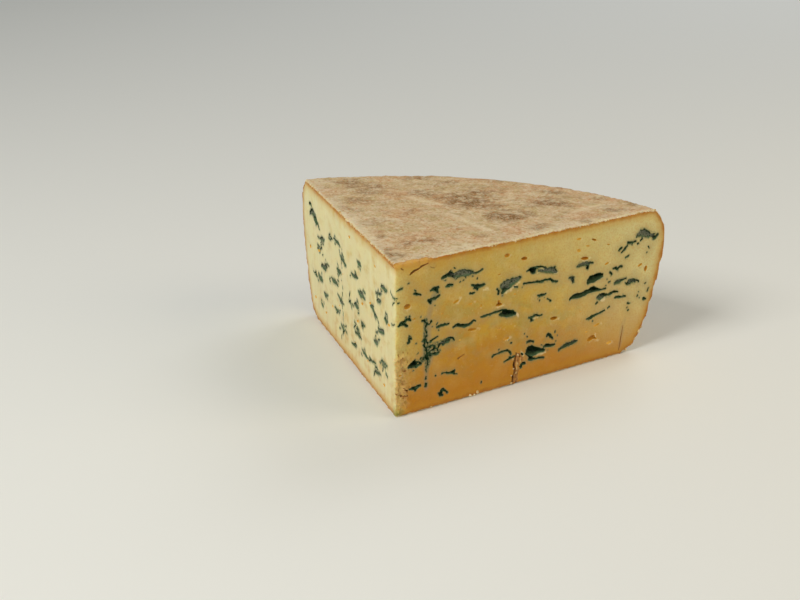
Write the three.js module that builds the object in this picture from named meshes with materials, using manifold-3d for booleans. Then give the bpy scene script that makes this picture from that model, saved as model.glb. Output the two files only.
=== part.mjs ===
// A wedge of blue cheese: a sector cut from a flat, firm wheel with a natural rind.
// It rests on the wheel's flat base, with the tip of the wedge towards -Y and the curved heel towards +Y.
// Units are millimetres, +Z is up, and the origin is under the middle of the wedge, on the surface it rests on.
import * as THREE from 'three';
import { mergeVertices } from 'three/addons/utils/BufferGeometryUtils.js';
import Module from 'manifold-3d';

const wasm = await Module();
wasm.setup();

// The wheel that the wedge was cut from.
const WHEEL_HEIGHT = 81;
const TOP_RADIUS = 175; // where the flat top ends
const BULGE_RADIUS = 184; // the widest ring of the heel
const BULGE_HEIGHT = 63;
const FOOT_RADIUS = 154; // where the flat base ends
const SECTOR = THREE.MathUtils.degToRad(73.4);
const RIGHT_CUT = (Math.PI - SECTOR) / 2; // direction of the right-hand cut face, seen from the tip

// How unevenly a cheese made by hand has set and been cut.
const WAVE_HEIGHT = 0.4;
const WAVE_LENGTH = 47;
const FLAT_BASE = 8; // the unevenness fades out over this height above the base

// Steps of the mesh along each cut face, and up the heel.
const RADIAL_STEPS = 18;
const HEIGHT_STEPS = 12;

// Openings that show at the right-hand cut: distance from the tip, height, length, thickness, depth and tilt.
// Blue mould has grown in all but the last group, which are bare round eyes.
const RIGHT_VEINS = [
  [33, 69.5, 10, 3.0, 2.2, -4], [43, 69, 10, 3.0, 1.8, -6], [24, 64, 8, 2.2, 1.8, 4],
  [23, 59, 8, 2.0, 1.6, 8], [52, 60, 10, 2.8, 2.0, -10], [5.5, 50, 7, 2.4, 1.5, 25],
  [71, 57, 15, 4.4, 2.6, 22], [89, 62, 9, 3.6, 3.2, 0], [98, 60, 13, 3.2, 2.0, -16],
  [93, 55, 22, 1.6, 1.6, -6], [124, 58, 12, 3.0, 1.8, -2], [132, 49.3, 12, 4.4, 4.0, 10],
  [126, 42.4, 25, 3.2, 4.0, 5], [142, 38, 16, 2.4, 2.6, 0], [150, 34.7, 9, 1.6, 1.6, -3],
  [160, 42, 10, 2.8, 1.8, -4], [150, 44, 8, 2.2, 1.4, 8], [166, 68, 11, 4.4, 2.6, 12],
  [174, 65.5, 8, 3.6, 2.4, -8], [157, 65, 8, 1.8, 1.4, 2], [43, 41, 14, 2.0, 2.2, -2],
  [71, 41, 10, 3.8, 3.4, -6], [11, 26.3, 7, 3.4, 3.6, 0], [20, 28, 10, 3.2, 2.2, 14],
  [19, 36, 6, 3.0, 1.8, 70], [32, 34.5, 9, 2.4, 1.4, 6], [13, 13.4, 7, 2.4, 2.0, 10],
  [89, 15.5, 16, 6.4, 4.6, -16], [100, 17.2, 7, 2.4, 2.2, -4], [112, 14, 13, 2.8, 1.8, 12],
  [135, 27.6, 13, 2.0, 2.0, 12], [29, 7, 5, 3.0, 1.4, -10],
];
const RIGHT_EYES = [
  [70, 73.3, 4, 2.4, 2, 0], [81.5, 69.6, 4, 2.2, 2.4, -6], [103, 32, 5, 2.0, 2.4, -6],
  [123.5, 62, 5.6, 2.0, 2, -8], [65.5, 48, 4.4, 2.6, 2, 0], [7, 58.3, 3.8, 2.8, 2, 0],
  [131, 14, 6, 2.8, 2.2, 14], [169.8, 47.7, 2.4, 3.4, 1.8, 0], [48, 37.5, 6, 1.6, 1.4, -6],
];

// Openings at the left-hand cut are spread by a rule that fills an area evenly without lining up.
const LEFT_VEIN_COUNT = 30;
const LEFT_NEAREST = 14;
const LEFT_FURTHEST = 168;
const LEFT_LOWEST = 11;
const LEFT_HIGHEST = 68;

const fraction = (value) => value - Math.floor(value);

// The heel from the foot up to the rim of the top: it leans out to the bulge, then rounds over.
const heelProfile = new THREE.SplineCurve([
  new THREE.Vector2(FOOT_RADIUS, 0),
  new THREE.Vector2(FOOT_RADIUS + 10, 5),
  new THREE.Vector2(FOOT_RADIUS + 16, 15),
  new THREE.Vector2(FOOT_RADIUS + 24, 36),
  new THREE.Vector2(BULGE_RADIUS, BULGE_HEIGHT),
  new THREE.Vector2(BULGE_RADIUS - 2, WHEEL_HEIGHT - 8),
  new THREE.Vector2(TOP_RADIUS, WHEEL_HEIGHT),
]);

// A slow, smooth unevenness that is the same wherever two faces meet.
function unevenness(point) {
  const turn = (2 * Math.PI) / WAVE_LENGTH;
  const { x, y, z } = point;
  const lift = Math.min(1, z / FLAT_BASE);
  return new THREE.Vector3(
    Math.sin(turn * (0.83 * y + 0.61 * z) + 1.3) + 0.4 * Math.sin(turn * (2.1 * z - 1.4 * y)),
    Math.sin(turn * (0.74 * x - 0.52 * z) + 2.1) + 0.4 * Math.sin(turn * (1.9 * z + 1.7 * x) + 0.4),
    Math.sin(turn * (0.68 * x + 0.93 * y)) + 0.6 * Math.sin(turn * (1.6 * x - 1.2 * y) + 0.9),
  ).multiplyScalar(WAVE_HEIGHT * lift);
}

// The body starts as a box. One upright edge of the box becomes the tip, the two sides that meet there become
// the cut faces, and the other two sides become the halves of the heel.
function wedgeBody() {
  const geometry = new THREE.BoxGeometry(1, 1, 1, RADIAL_STEPS, RADIAL_STEPS, HEIGHT_STEPS);
  const position = geometry.attributes.position;
  for (let i = 0; i < position.count; i += 1) {
    const alongRight = position.getX(i) + 0.5;
    const alongLeft = position.getY(i) + 0.5;
    const outward = Math.max(alongRight, alongLeft);
    let share = 0;
    if (outward > 0) {
      share = alongRight >= alongLeft ? alongLeft / alongRight / 2 : 1 - alongRight / alongLeft / 2;
    }
    const rim = heelProfile.getPointAt(THREE.MathUtils.clamp(position.getZ(i) + 0.5, 0, 1));
    const angle = RIGHT_CUT + share * SECTOR;
    const point = new THREE.Vector3(
      Math.cos(angle) * outward * rim.x,
      Math.sin(angle) * outward * rim.x,
      rim.y,
    );
    point.add(unevenness(point));
    position.setXYZ(i, point.x, point.y, point.z);
  }
  return geometry;
}

function toSolid(geometry) {
  const bare = geometry.clone();
  bare.deleteAttribute('normal');
  bare.deleteAttribute('uv');
  const merged = mergeVertices(bare, 1e-4);
  return new wasm.Manifold(new wasm.Mesh({
    numProp: 3,
    vertProperties: new Float32Array(merged.attributes.position.array),
    triVerts: new Uint32Array(merged.index.array),
  }));
}

// A lumpy pocket, centred on a cut face, as long, thick and deep as it shows there.
function pocket([distance, height, length, thickness, depth, tilt], cutAngle, order) {
  const geometry = new THREE.SphereGeometry(1, 8, 6);
  const position = geometry.attributes.position;
  const point = new THREE.Vector3();
  for (let i = 0; i < position.count; i += 1) {
    point.fromBufferAttribute(position, i);
    const swell = 1 + 0.16 * Math.sin(4 * point.x + order) * Math.cos(3 * point.z + 2 * order);
    position.setXYZ(i, point.x * swell, point.y * swell, point.z * swell);
  }
  geometry.scale(length / 2, depth, thickness / 2);
  geometry.rotateY(-THREE.MathUtils.degToRad(tilt));
  geometry.translate(distance, 0, height);
  geometry.rotateZ(cutAngle);
  return toSolid(geometry);
}

// Mould lies in flat layers, so its pockets are long, low and nearly level at any cut.
function leftVein(order) {
  const distance = LEFT_NEAREST + (LEFT_FURTHEST - LEFT_NEAREST) * fraction(0.5 + 0.7549 * order);
  const height = LEFT_LOWEST + (LEFT_HIGHEST - LEFT_LOWEST) * fraction(0.5 + 0.5698 * order);
  const size = fraction(0.3 + 0.3819 * order);
  const length = 6 + 9 * size;
  const thickness = 1.8 + 2.4 * fraction(0.1 + 0.4142 * order);
  const depth = 1.4 + 1.6 * size;
  const tilt = 28 * (fraction(0.7321 * order) - 0.5);
  return [distance, height, length, thickness, depth, tilt];
}

function toGeometry(solid) {
  const mesh = solid.getMesh();
  const geometry = new THREE.BufferGeometry();
  geometry.setAttribute('position', new THREE.BufferAttribute(new Float32Array(mesh.vertProperties), 3));
  geometry.setIndex(new THREE.BufferAttribute(new Uint32Array(mesh.triVerts), 1));
  geometry.computeVertexNormals();
  return geometry;
}

let wedge = toSolid(wedgeBody());
[...RIGHT_VEINS, ...RIGHT_EYES].forEach((opening, order) => {
  wedge = wedge.subtract(pocket(opening, RIGHT_CUT, order));
});
for (let order = 1; order <= LEFT_VEIN_COUNT; order += 1) {
  wedge = wedge.subtract(pocket(leftVein(order), RIGHT_CUT + SECTOR, order));
}

const cheese = new THREE.Mesh(
  toGeometry(wedge),
  new THREE.MeshStandardMaterial({ color: 0xd8b66c, roughness: 0.6, metalness: 0 }),
);
cheese.name = 'cheese_wedge';
cheese.geometry.computeBoundingBox();
const middle = cheese.geometry.boundingBox.getCenter(new THREE.Vector3());
cheese.position.set(-middle.x, -middle.y, 0);

const model = new THREE.Group();
model.add(cheese);

export default model;
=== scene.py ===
# %% [markdown]
# # A wedge of blue cheese
#
# This lesson gives a packed, faceted wedge of blue cheese its real surface. The wedge was cut from a flat wheel
# with a dry natural rind. Two knife cuts meet at the tip, and blue mould has grown in the openings of the paste.
#
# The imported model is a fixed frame: it says where the cheese is and how large it is. Everything here is in metres,
# with +Z up. The tip of the wedge points to -Y, and the curved heel to +Y.

# %% Load the frame
import math
import random

import bpy
import numpy as np
from mathutils import Matrix, Vector
from mathutils.kdtree import KDTree


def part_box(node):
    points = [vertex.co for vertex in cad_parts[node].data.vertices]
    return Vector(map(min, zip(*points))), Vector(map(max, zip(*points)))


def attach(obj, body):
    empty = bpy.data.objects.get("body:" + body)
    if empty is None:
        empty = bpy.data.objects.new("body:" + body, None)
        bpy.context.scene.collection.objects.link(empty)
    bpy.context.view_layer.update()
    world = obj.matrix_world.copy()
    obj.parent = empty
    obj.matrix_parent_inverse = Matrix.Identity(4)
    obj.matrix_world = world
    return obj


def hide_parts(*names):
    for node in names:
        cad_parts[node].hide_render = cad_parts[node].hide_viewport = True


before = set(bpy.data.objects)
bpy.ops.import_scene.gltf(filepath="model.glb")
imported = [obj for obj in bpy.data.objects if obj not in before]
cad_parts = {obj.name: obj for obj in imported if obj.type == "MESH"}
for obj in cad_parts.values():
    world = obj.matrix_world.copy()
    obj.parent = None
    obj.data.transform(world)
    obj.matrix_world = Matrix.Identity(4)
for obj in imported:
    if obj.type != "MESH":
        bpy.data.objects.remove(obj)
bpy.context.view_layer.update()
print("nodes:", sorted(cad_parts))

# %% [markdown]
# ## The sizes of the wheel
#
# A sector's box gives its two main sizes. It is as deep as the wheel's largest radius, and as wide as the chord
# between the far ends of the two cuts. The rest of the heel's outline was measured as steps in from that radius.

# %% Sizes from the frame
MM = 0.001
UNEVEN = 0.4 * MM  # how far the surface of a cheese made by hand wanders, which the box includes

low, high = (Vector(corner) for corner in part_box("cheese_wedge"))
BULGE_RADIUS = high.y - low.y - UNEVEN
WHEEL_HEIGHT = high.z - UNEVEN
SECTOR = 2 * math.asin((high.x - low.x - UNEVEN) / 2 / BULGE_RADIUS)
TIP = Vector((0, low.y, 0))

HEEL = [
    (BULGE_RADIUS - 30 * MM, 0),
    (BULGE_RADIUS - 20 * MM, 5 * MM),
    (BULGE_RADIUS - 14 * MM, 15 * MM),
    (BULGE_RADIUS - 6 * MM, 36 * MM),
    (BULGE_RADIUS, 63 * MM),
    (BULGE_RADIUS - 2 * MM, WHEEL_HEIGHT - 8 * MM),
    (BULGE_RADIUS - 9 * MM, WHEEL_HEIGHT),
]
print(f"radius {BULGE_RADIUS / MM:.1f} mm, height {WHEEL_HEIGHT / MM:.1f} mm, sector {math.degrees(SECTOR):.1f} deg")

# %% [markdown]
# ## The two cuts
#
# What shows at a cut is easiest to place in the cut's own frame: millimetres along it from the tip, millimetres
# into the paste, and millimetres up. One matrix for each cut then takes such a place to the object.


# %% Frames of the cuts
def cut_frame(direction, side):
    """A matrix from (along, into, up) in metres on one cut to the object. side is 1 if the paste is to its left."""
    along = Vector((math.cos(direction), math.sin(direction), 0))
    into = side * Vector((-along.y, along.x, 0))
    columns = Matrix((along, into, Vector((0, 0, 1)))).transposed()
    return Matrix.Translation(TIP) @ columns.to_4x4()


CUTS = {
    "right": cut_frame((math.pi - SECTOR) / 2, 1),
    "left": cut_frame((math.pi + SECTOR) / 2, -1),
}
print("cuts:", {name: [round(v, 3) for v in matrix.col[0][:3]] for name, matrix in CUTS.items()})

# %% [markdown]
# ## The camera
#
# The camera stands where the photograph was taken from: a little above the cheese, turned to its right-hand cut.

# %% Camera
VIEW_TURN = math.radians(18.72)
VIEW_DOWN = math.radians(19.43)
VIEW_ROLL = math.radians(-0.24)
SEEN_FROM = Vector((2.4, -660.1, 296.3)) * MM  # from the tip, before the turn

bpy.ops.object.select_all(action="DESELECT")
bpy.ops.object.camera_add()
camera = bpy.context.object
camera.name = "camera"
camera.data.sensor_width = 36
camera.data.lens = 64.2
turn = Matrix.Rotation(VIEW_TURN, 4, "Z")
tilt = Matrix.Rotation(math.pi / 2 - VIEW_DOWN, 4, "X")
roll = Matrix.Rotation(VIEW_ROLL, 4, "Z")
camera.matrix_world = Matrix.Translation(TIP) @ turn @ Matrix.Translation(SEEN_FROM) @ tilt @ roll
bpy.context.scene.camera = camera
print("camera at", [round(v, 3) for v in camera.matrix_world.translation])

# %% [markdown]
# ## Helpers for modelling
#
# An operator acts on whatever is selected, so each step first selects just the object that it works on. A modifier
# is added, set and applied in one go, as it would be by hand. The last helper counts triangles, to print them.


# %% Helpers for modelling
def select(*objects):
    """Selects only these, and makes the first one active."""
    bpy.ops.object.select_all(action="DESELECT")
    for each in objects:
        each.select_set(True)
    bpy.context.view_layer.objects.active = objects[0]


def apply_modifier(piece, kind, **settings):
    """Adds a modifier with these settings and applies it to the mesh."""
    select(piece)
    modifier = piece.modifiers.new(kind.title(), kind)
    for name, value in settings.items():
        setattr(modifier, name, value)
    bpy.ops.object.modifier_apply(modifier=modifier.name)


def triangles(piece):
    piece.data.calc_loop_triangles()
    return len(piece.data.loop_triangles)


# %% [markdown]
# ## The whole wheel
#
# The real wheel is round because it was pressed in a round mould, so it is modelled as it would be turned: the
# heel's outline is drawn as one smooth curve, its ends are extruded to the middle of the wheel, and the outline is
# spun round. The heel leans out as it rises, because the curd sagged before the rind set.

# %% Spin the wheel
SPIN_STEPS = 240

bpy.ops.object.select_all(action="DESELECT")
bpy.ops.curve.primitive_bezier_curve_add()
wheel = bpy.context.object
wheel.name = "cheese_wedge_paste_and_rind"
heel_spline = wheel.data.splines[0]
heel_spline.bezier_points.add(len(HEEL) - 2)
heel_spline.resolution_u = 10
for point, (radius, height) in zip(heel_spline.bezier_points, HEEL):
    point.co = TIP + Vector((radius, 0, height))
    point.handle_left_type = point.handle_right_type = "AUTO"
bpy.ops.object.convert(target="MESH")

bpy.ops.object.mode_set(mode="EDIT")
bpy.ops.mesh.select_mode(type="VERT")
for end in (0, -1):
    bpy.ops.object.mode_set(mode="OBJECT")
    by_height = sorted(wheel.data.vertices, key=lambda vertex: vertex.co.z)
    for vertex in wheel.data.vertices:
        vertex.select = False
    by_height[end].select = True
    reach = by_height[end].co.x - TIP.x
    bpy.ops.object.mode_set(mode="EDIT")
    bpy.ops.mesh.extrude_region_move(TRANSFORM_OT_translate={"value": (-reach, 0, 0)})
bpy.ops.mesh.select_all(action="SELECT")
bpy.ops.mesh.spin(steps=SPIN_STEPS, angle=2 * math.pi, center=TIP, axis=(0, 0, 1))
bpy.ops.mesh.select_all(action="SELECT")
bpy.ops.mesh.remove_doubles(threshold=0.01 * MM)
bpy.ops.mesh.normals_make_consistent(inside=False)
bpy.ops.object.mode_set(mode="OBJECT")
print("wheel:", triangles(wheel), "triangles")

# %% [markdown]
# ## Cut the wedge
#
# A knife takes the wedge out with two straight cuts through the middle. Bisect does just that: each plane drops
# what lies behind it and fills the cut.

# %% Two cuts
bpy.ops.object.mode_set(mode="EDIT")
for matrix in CUTS.values():
    bpy.ops.mesh.select_all(action="SELECT")
    inward = Vector(matrix.col[1][:3])
    bpy.ops.mesh.bisect(plane_co=TIP, plane_no=inward, use_fill=True, clear_inner=True)
bpy.ops.mesh.select_all(action="SELECT")
bpy.ops.mesh.remove_doubles(threshold=0.01 * MM)
bpy.ops.mesh.normals_make_consistent(inside=False)
bpy.ops.object.mode_set(mode="OBJECT")
print("wedge:", triangles(wheel), "triangles, size", [round(v / MM, 1) for v in wheel.dimensions])

# %% [markdown]
# ## An even skin of small faces
#
# The cut faces are now single large polygons, which can't carry any unevenness. A voxel remesh covers the wedge
# with even, small faces, and a shrinkwrap onto a copy of the crisp wedge puts them back on its true faces.

# %% Remesh
SKIN_STEP = 1.9 * MM

crisp = wheel.copy()
crisp.data = wheel.data.copy()
bpy.context.collection.objects.link(crisp)
apply_modifier(wheel, "REMESH", mode="VOXEL", voxel_size=SKIN_STEP)
apply_modifier(wheel, "SHRINKWRAP", target=crisp, wrap_method="NEAREST_SURFACEPOINT")
bpy.data.objects.remove(crisp)
print("remeshed:", triangles(wheel), "triangles")

# %% [markdown]
# ## How deep every point lies
#
# Both the relief and the colours depend on two distances: how far a point is below the old skin of the wheel, and
# how far it is behind the nearer cut. The rind is where the first is nothing, the cut paste is where the second is.


# %% Distances
def places(piece):
    """The vertices of a mesh as rows of x, y and z."""
    flat = np.empty(3 * len(piece.data.vertices))
    piece.data.vertices.foreach_get("co", flat)
    return flat.reshape(-1, 3)


def in_cut(points, matrix):
    """The same points in a cut's frame: columns for along, into and up, in millimetres."""
    inverse = np.array(matrix.inverted())
    return (points @ inverse[:3, :3].T + inverse[:3, 3]) / MM


def from_path(points, path):
    """How far each point of a plane is from a path of (x, y, thickness), less half the thickness there, how large
    that half is, and how far above the path the point lies."""
    nearest = np.full(len(points), np.inf)
    half = np.zeros(len(points))
    above = np.zeros(len(points))
    for (ax, ay, a_thick), (bx, by, b_thick) in zip(path, path[1:]):
        step = np.array((bx - ax, by - ay))
        share = np.clip(((points - (ax, ay)) @ step) / max(step @ step, 1e-9), 0, 1)
        here = (a_thick + share * (b_thick - a_thick)) / 2
        gap = np.hypot(points[:, 0] - ax - share * step[0], points[:, 1] - ay - share * step[1]) - here
        closer = gap < nearest
        nearest = np.where(closer, gap, nearest)
        half = np.where(closer, here, half)
        above = np.where(closer, points[:, 1] - ay - share * step[1], above)
    return nearest, half, above


def depths(points):
    """Distances below the wheel's skin and behind the nearer cut, in millimetres."""
    radius = np.hypot(points[:, 0] - TIP.x, points[:, 1] - TIP.y) / MM
    height = points[:, 2] / MM
    heel_path = [(r / MM, z / MM, 0) for r, z in HEEL]
    heel_gap, _, _ = from_path(np.column_stack((radius, height)), heel_path)
    skin = np.minimum.reduce((heel_gap, height, WHEEL_HEIGHT / MM - height))
    cut = np.minimum(*(in_cut(points, matrix)[:, 1] for matrix in CUTS.values()))
    return skin, cut


# %% [markdown]
# ## Hand-made unevenness
#
# The wheel set slowly, so both cuts wander by half a millimetre, and the rind is lumpier than they are. The rim,
# where the dry rind meets a cut, crumbled under the knife. Each of these is a Displace modifier with a cloud
# texture of the right size, held to its own part of the skin by a vertex group. The rim and the torn tip crumble in
# small grains, so their faces are subdivided first.
#
# The tip is the weakest place of a wedge. Handling rubbed its edge round and wore the rind off beside it, and lower
# down it tore. Smoothing only the worn faces rounds them just as rubbing does.


# %% Helpers for relief
def cloud(name, size):
    """A cloud texture whose largest lumps have that size in metres."""
    texture = bpy.data.textures.new(name, "CLOUDS")
    texture.noise_scale = size
    texture.noise_depth = 2
    return texture


def add_weights(piece, name, weights):
    """A vertex group with a weight from 0 to 1 for every vertex."""
    group = piece.vertex_groups.new(name=name)
    for index, weight in enumerate(weights):
        if weight > 0:
            group.add([index], float(weight), "REPLACE")


def ramp(values, start, full):
    """0 at start, 1 at full and beyond, straight between them, whichever of the two is larger."""
    return np.clip((values - start) / (full - start), 0, 1)


def near_rim(points):
    """Whether a point is within 2 mm of the edge between the top and a cut."""
    _, cut = depths(points)
    return np.maximum(WHEEL_HEIGHT - points[:, 2], cut * MM) < 2 * MM


def worn_rim(points):
    """How worn the top edge of the right-hand cut is: most beside the tip, and not at all 3 cm from it."""
    along, into, up = in_cut(points, CUTS["right"]).T
    from_edge = np.hypot(into, WHEEL_HEIGHT / MM - up)
    return ramp(from_edge, 5, 1) * ramp(along, 30, 16)


def torn_tip(points):
    """How torn the paste is beside the tip's edge, on the right-hand cut."""
    along, into, up = in_cut(points, CUTS["right"]).T
    return ramp(np.abs(into), 3, 1) * ramp(np.abs(along - 3), 11, 2) * ramp(np.abs(up - 19), 22, 12)


def refine(piece, chosen):
    """Splits the faces between the chosen vertices into nine each."""
    select(piece)
    bpy.ops.object.mode_set(mode="EDIT")
    bpy.ops.mesh.select_mode(type="VERT")
    bpy.ops.mesh.select_all(action="DESELECT")
    bpy.ops.object.mode_set(mode="OBJECT")
    piece.data.vertices.foreach_set("select", chosen)
    bpy.ops.object.mode_set(mode="EDIT")
    bpy.ops.mesh.subdivide(number_cuts=2)
    bpy.ops.object.mode_set(mode="OBJECT")


# %% Relief of the skin
refine(wheel, near_rim(places(wheel)) | (torn_tip(places(wheel)) > 0))
print("finer at the rim and the torn tip:", triangles(wheel), "triangles")

skin_mm, cut_mm = depths(places(wheel))
from_axis = np.hypot(*(places(wheel) - TIP)[:, :2].T) / MM
base_fade = ramp(places(wheel)[:, 2], 0, 8 * MM)  # the base stays flat, as it lies on the floor
at_rim = near_rim(places(wheel)) * ramp(np.maximum(skin_mm, cut_mm), 2, 0.6)
add_weights(wheel, "anywhere", base_fade)
add_weights(wheel, "rind", ramp(skin_mm, 1.5, 0.5) * base_fade)
add_weights(wheel, "rim", at_rim)
add_weights(wheel, "tip", torn_tip(places(wheel)))
add_weights(wheel, "rubbed", np.maximum(worn_rim(places(wheel)), ramp(from_axis, 6, 2)) * base_fade)
RELIEF = [  # name, size and height of the lumps in millimetres, and where they are
    ("set of the curd", 40, 0.9, "anywhere"),
    ("knife wobble", 12, 0.5, "anywhere"),
    ("press marks", 16, 0.6, "rind"),
    ("rind bumps", 6, 0.4, "rind"),
    ("chipped rim", 5, 1.3, "rim"),
    ("crumbly rim", 1.3, 0.9, "rim"),
    ("torn tip", 3.2, 4.0, "tip"),
    ("torn grains", 1.3, 2.0, "tip"),
]
apply_modifier(wheel, "SMOOTH", iterations=18, factor=0.5, vertex_group="rubbed")
for name, size, height, group in RELIEF:
    apply_modifier(
        wheel, "DISPLACE", texture=cloud(name, size * MM), strength=height * MM, vertex_group=group
    )
print("relief added, size", [round(v / MM, 1) for v in wheel.dimensions])

# %% [markdown]
# ## Where the mould shows at the right-hand cut
#
# Mould needs air, so it grows in the flat openings between lumps of curd and along the needle holes that were
# pierced for it. These are the openings that show. Each is a path of places (along, up, thickness) in
# millimetres, with how deep it goes and how much pale, furry mould lies open in it, from 0 to 1. Seeded draws add
# the specks beside them.

# %% Openings near the tip
NEAR_TIP = [
    (0.8, 0.3, [(0, 66.5, 0.5), (2, 67.8, 0.7), (4.8, 68.9, 0.5)]),
    (1.0, 0.0, [(0.2, 63.9, 0.8), (1.8, 63.7, 0.9)]),
    (0.7, 0.2, [(0.6, 61.6, 0.5), (2, 61.2, 0.6)]),
    (1.2, 0.0, [(10.8, 64.6, 0.8), (13, 64, 1.3), (15.8, 62.9, 0.8)]),
    (1.6, 0.2, [(21, 64, 1.0), (24, 64.5, 2.2), (26.8, 65, 1.2)]),
    (1.4, 0.3, [(24.6, 64, 1.6), (25.8, 62.8, 1.4), (25.6, 61.8, 1.0)]),
    (1.6, 0.1, [(19.5, 59.4, 1.2), (21, 58.4, 2.2), (22, 57.2, 0.9)]),
    (1.4, 0.3, [(21.5, 59.5, 1.2), (25, 59.6, 1.6), (27.3, 60.6, 1.1)]),
    (1.2, 0.1, [(30.5, 64.2, 1.0), (33, 64.6, 1.8), (35.5, 64.4, 0.9)]),
    (1.0, 0.0, [(39.8, 65.3, 1.2), (40.3, 64.8, 1.0)]),
    (2.4, 0.0, [(28, 69, 1.1), (30.5, 69.8, 2.0), (33, 70.3, 2.6), (35, 69.6, 2.4), (36.3, 68.4, 1.8)]),
    (0.9, 0.0, [(33.2, 71.6, 0.9), (34.2, 72.2, 0.9)]),
    (1.3, 0.9, [(36, 69.4, 2.6), (40, 69.6, 3.8), (43, 69.3, 4.2), (46, 68.8, 2.8), (48.5, 68, 1.3)]),
    (1.0, 0.0, [(48.5, 67.9, 0.9), (51, 68, 1.0), (54.5, 69.2, 0.8)]),
    (0.9, 0.2, [(43.3, 66.6, 0.9), (43.9, 66.4, 0.8)]),
    (1.4, 0.0, [(2, 48.8, 0.9), (4.5, 50.2, 2.3), (6.5, 51.3, 1.5), (8, 51.8, 1.5), (9.3, 50.5, 1.0)]),
    (1.2, 0.0, [(4.8, 50, 1.6), (7.5, 47.9, 1.2)]),
    (0.9, 0.0, [(7.6, 41.3, 0.9), (10, 40.8, 1.1)]),
    (1.2, 0.2, [(7.2, 38.9, 1.3), (8.8, 39.8, 1.5)]),
    (1.2, 0.0, [(25, 43.5, 0.9), (28.5, 44, 1.6), (33.3, 43.9, 0.8)]),
    (1.8, 0.0, [(35.5, 41.2, 1.0), (38, 42, 1.6), (41, 41.2, 1.8), (44, 40.6, 2.0), (47.5, 41.3, 1.5),
                (49, 42.4, 1.0), (50.3, 41.6, 0.9)]),
    (4.2, 0.0, [(7.3, 26, 1.3), (9.5, 26.5, 3.6), (11.2, 26.8, 4.0), (13.2, 26.1, 2.4)]),
    (1.6, 0.0, [(8.5, 13.6, 1.0), (11.5, 13.8, 1.9), (15.7, 14.4, 1.3)]),
    (1.4, 0.2, [(11.8, 13.2, 1.8), (12.6, 12.4, 1.4)]),
    (1.0, 0.1, [(28.5, 17.5, 0.8), (31, 17.6, 0.8), (33, 16.8, 1.1), (35.5, 16.8, 1.3), (36.5, 15.8, 0.9),
                (38.8, 15, 0.8)]),
    (0.9, 0.0, [(24.3, 17.5, 0.9), (25.4, 17.2, 0.8)]),
    (0.9, 0.0, [(35.6, 17.2, 0.8), (37.2, 17.7, 0.7)]),
    (1.2, 0.2, [(26.3, 7.6, 1.0), (28, 6.4, 1.5), (28.8, 8.8, 1.8), (30.8, 7.5, 1.1), (32.5, 6.2, 0.8)]),
    (1.0, 0.2, [(27, 5.8, 1.0), (29.5, 5.4, 1.2)]),
]

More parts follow.
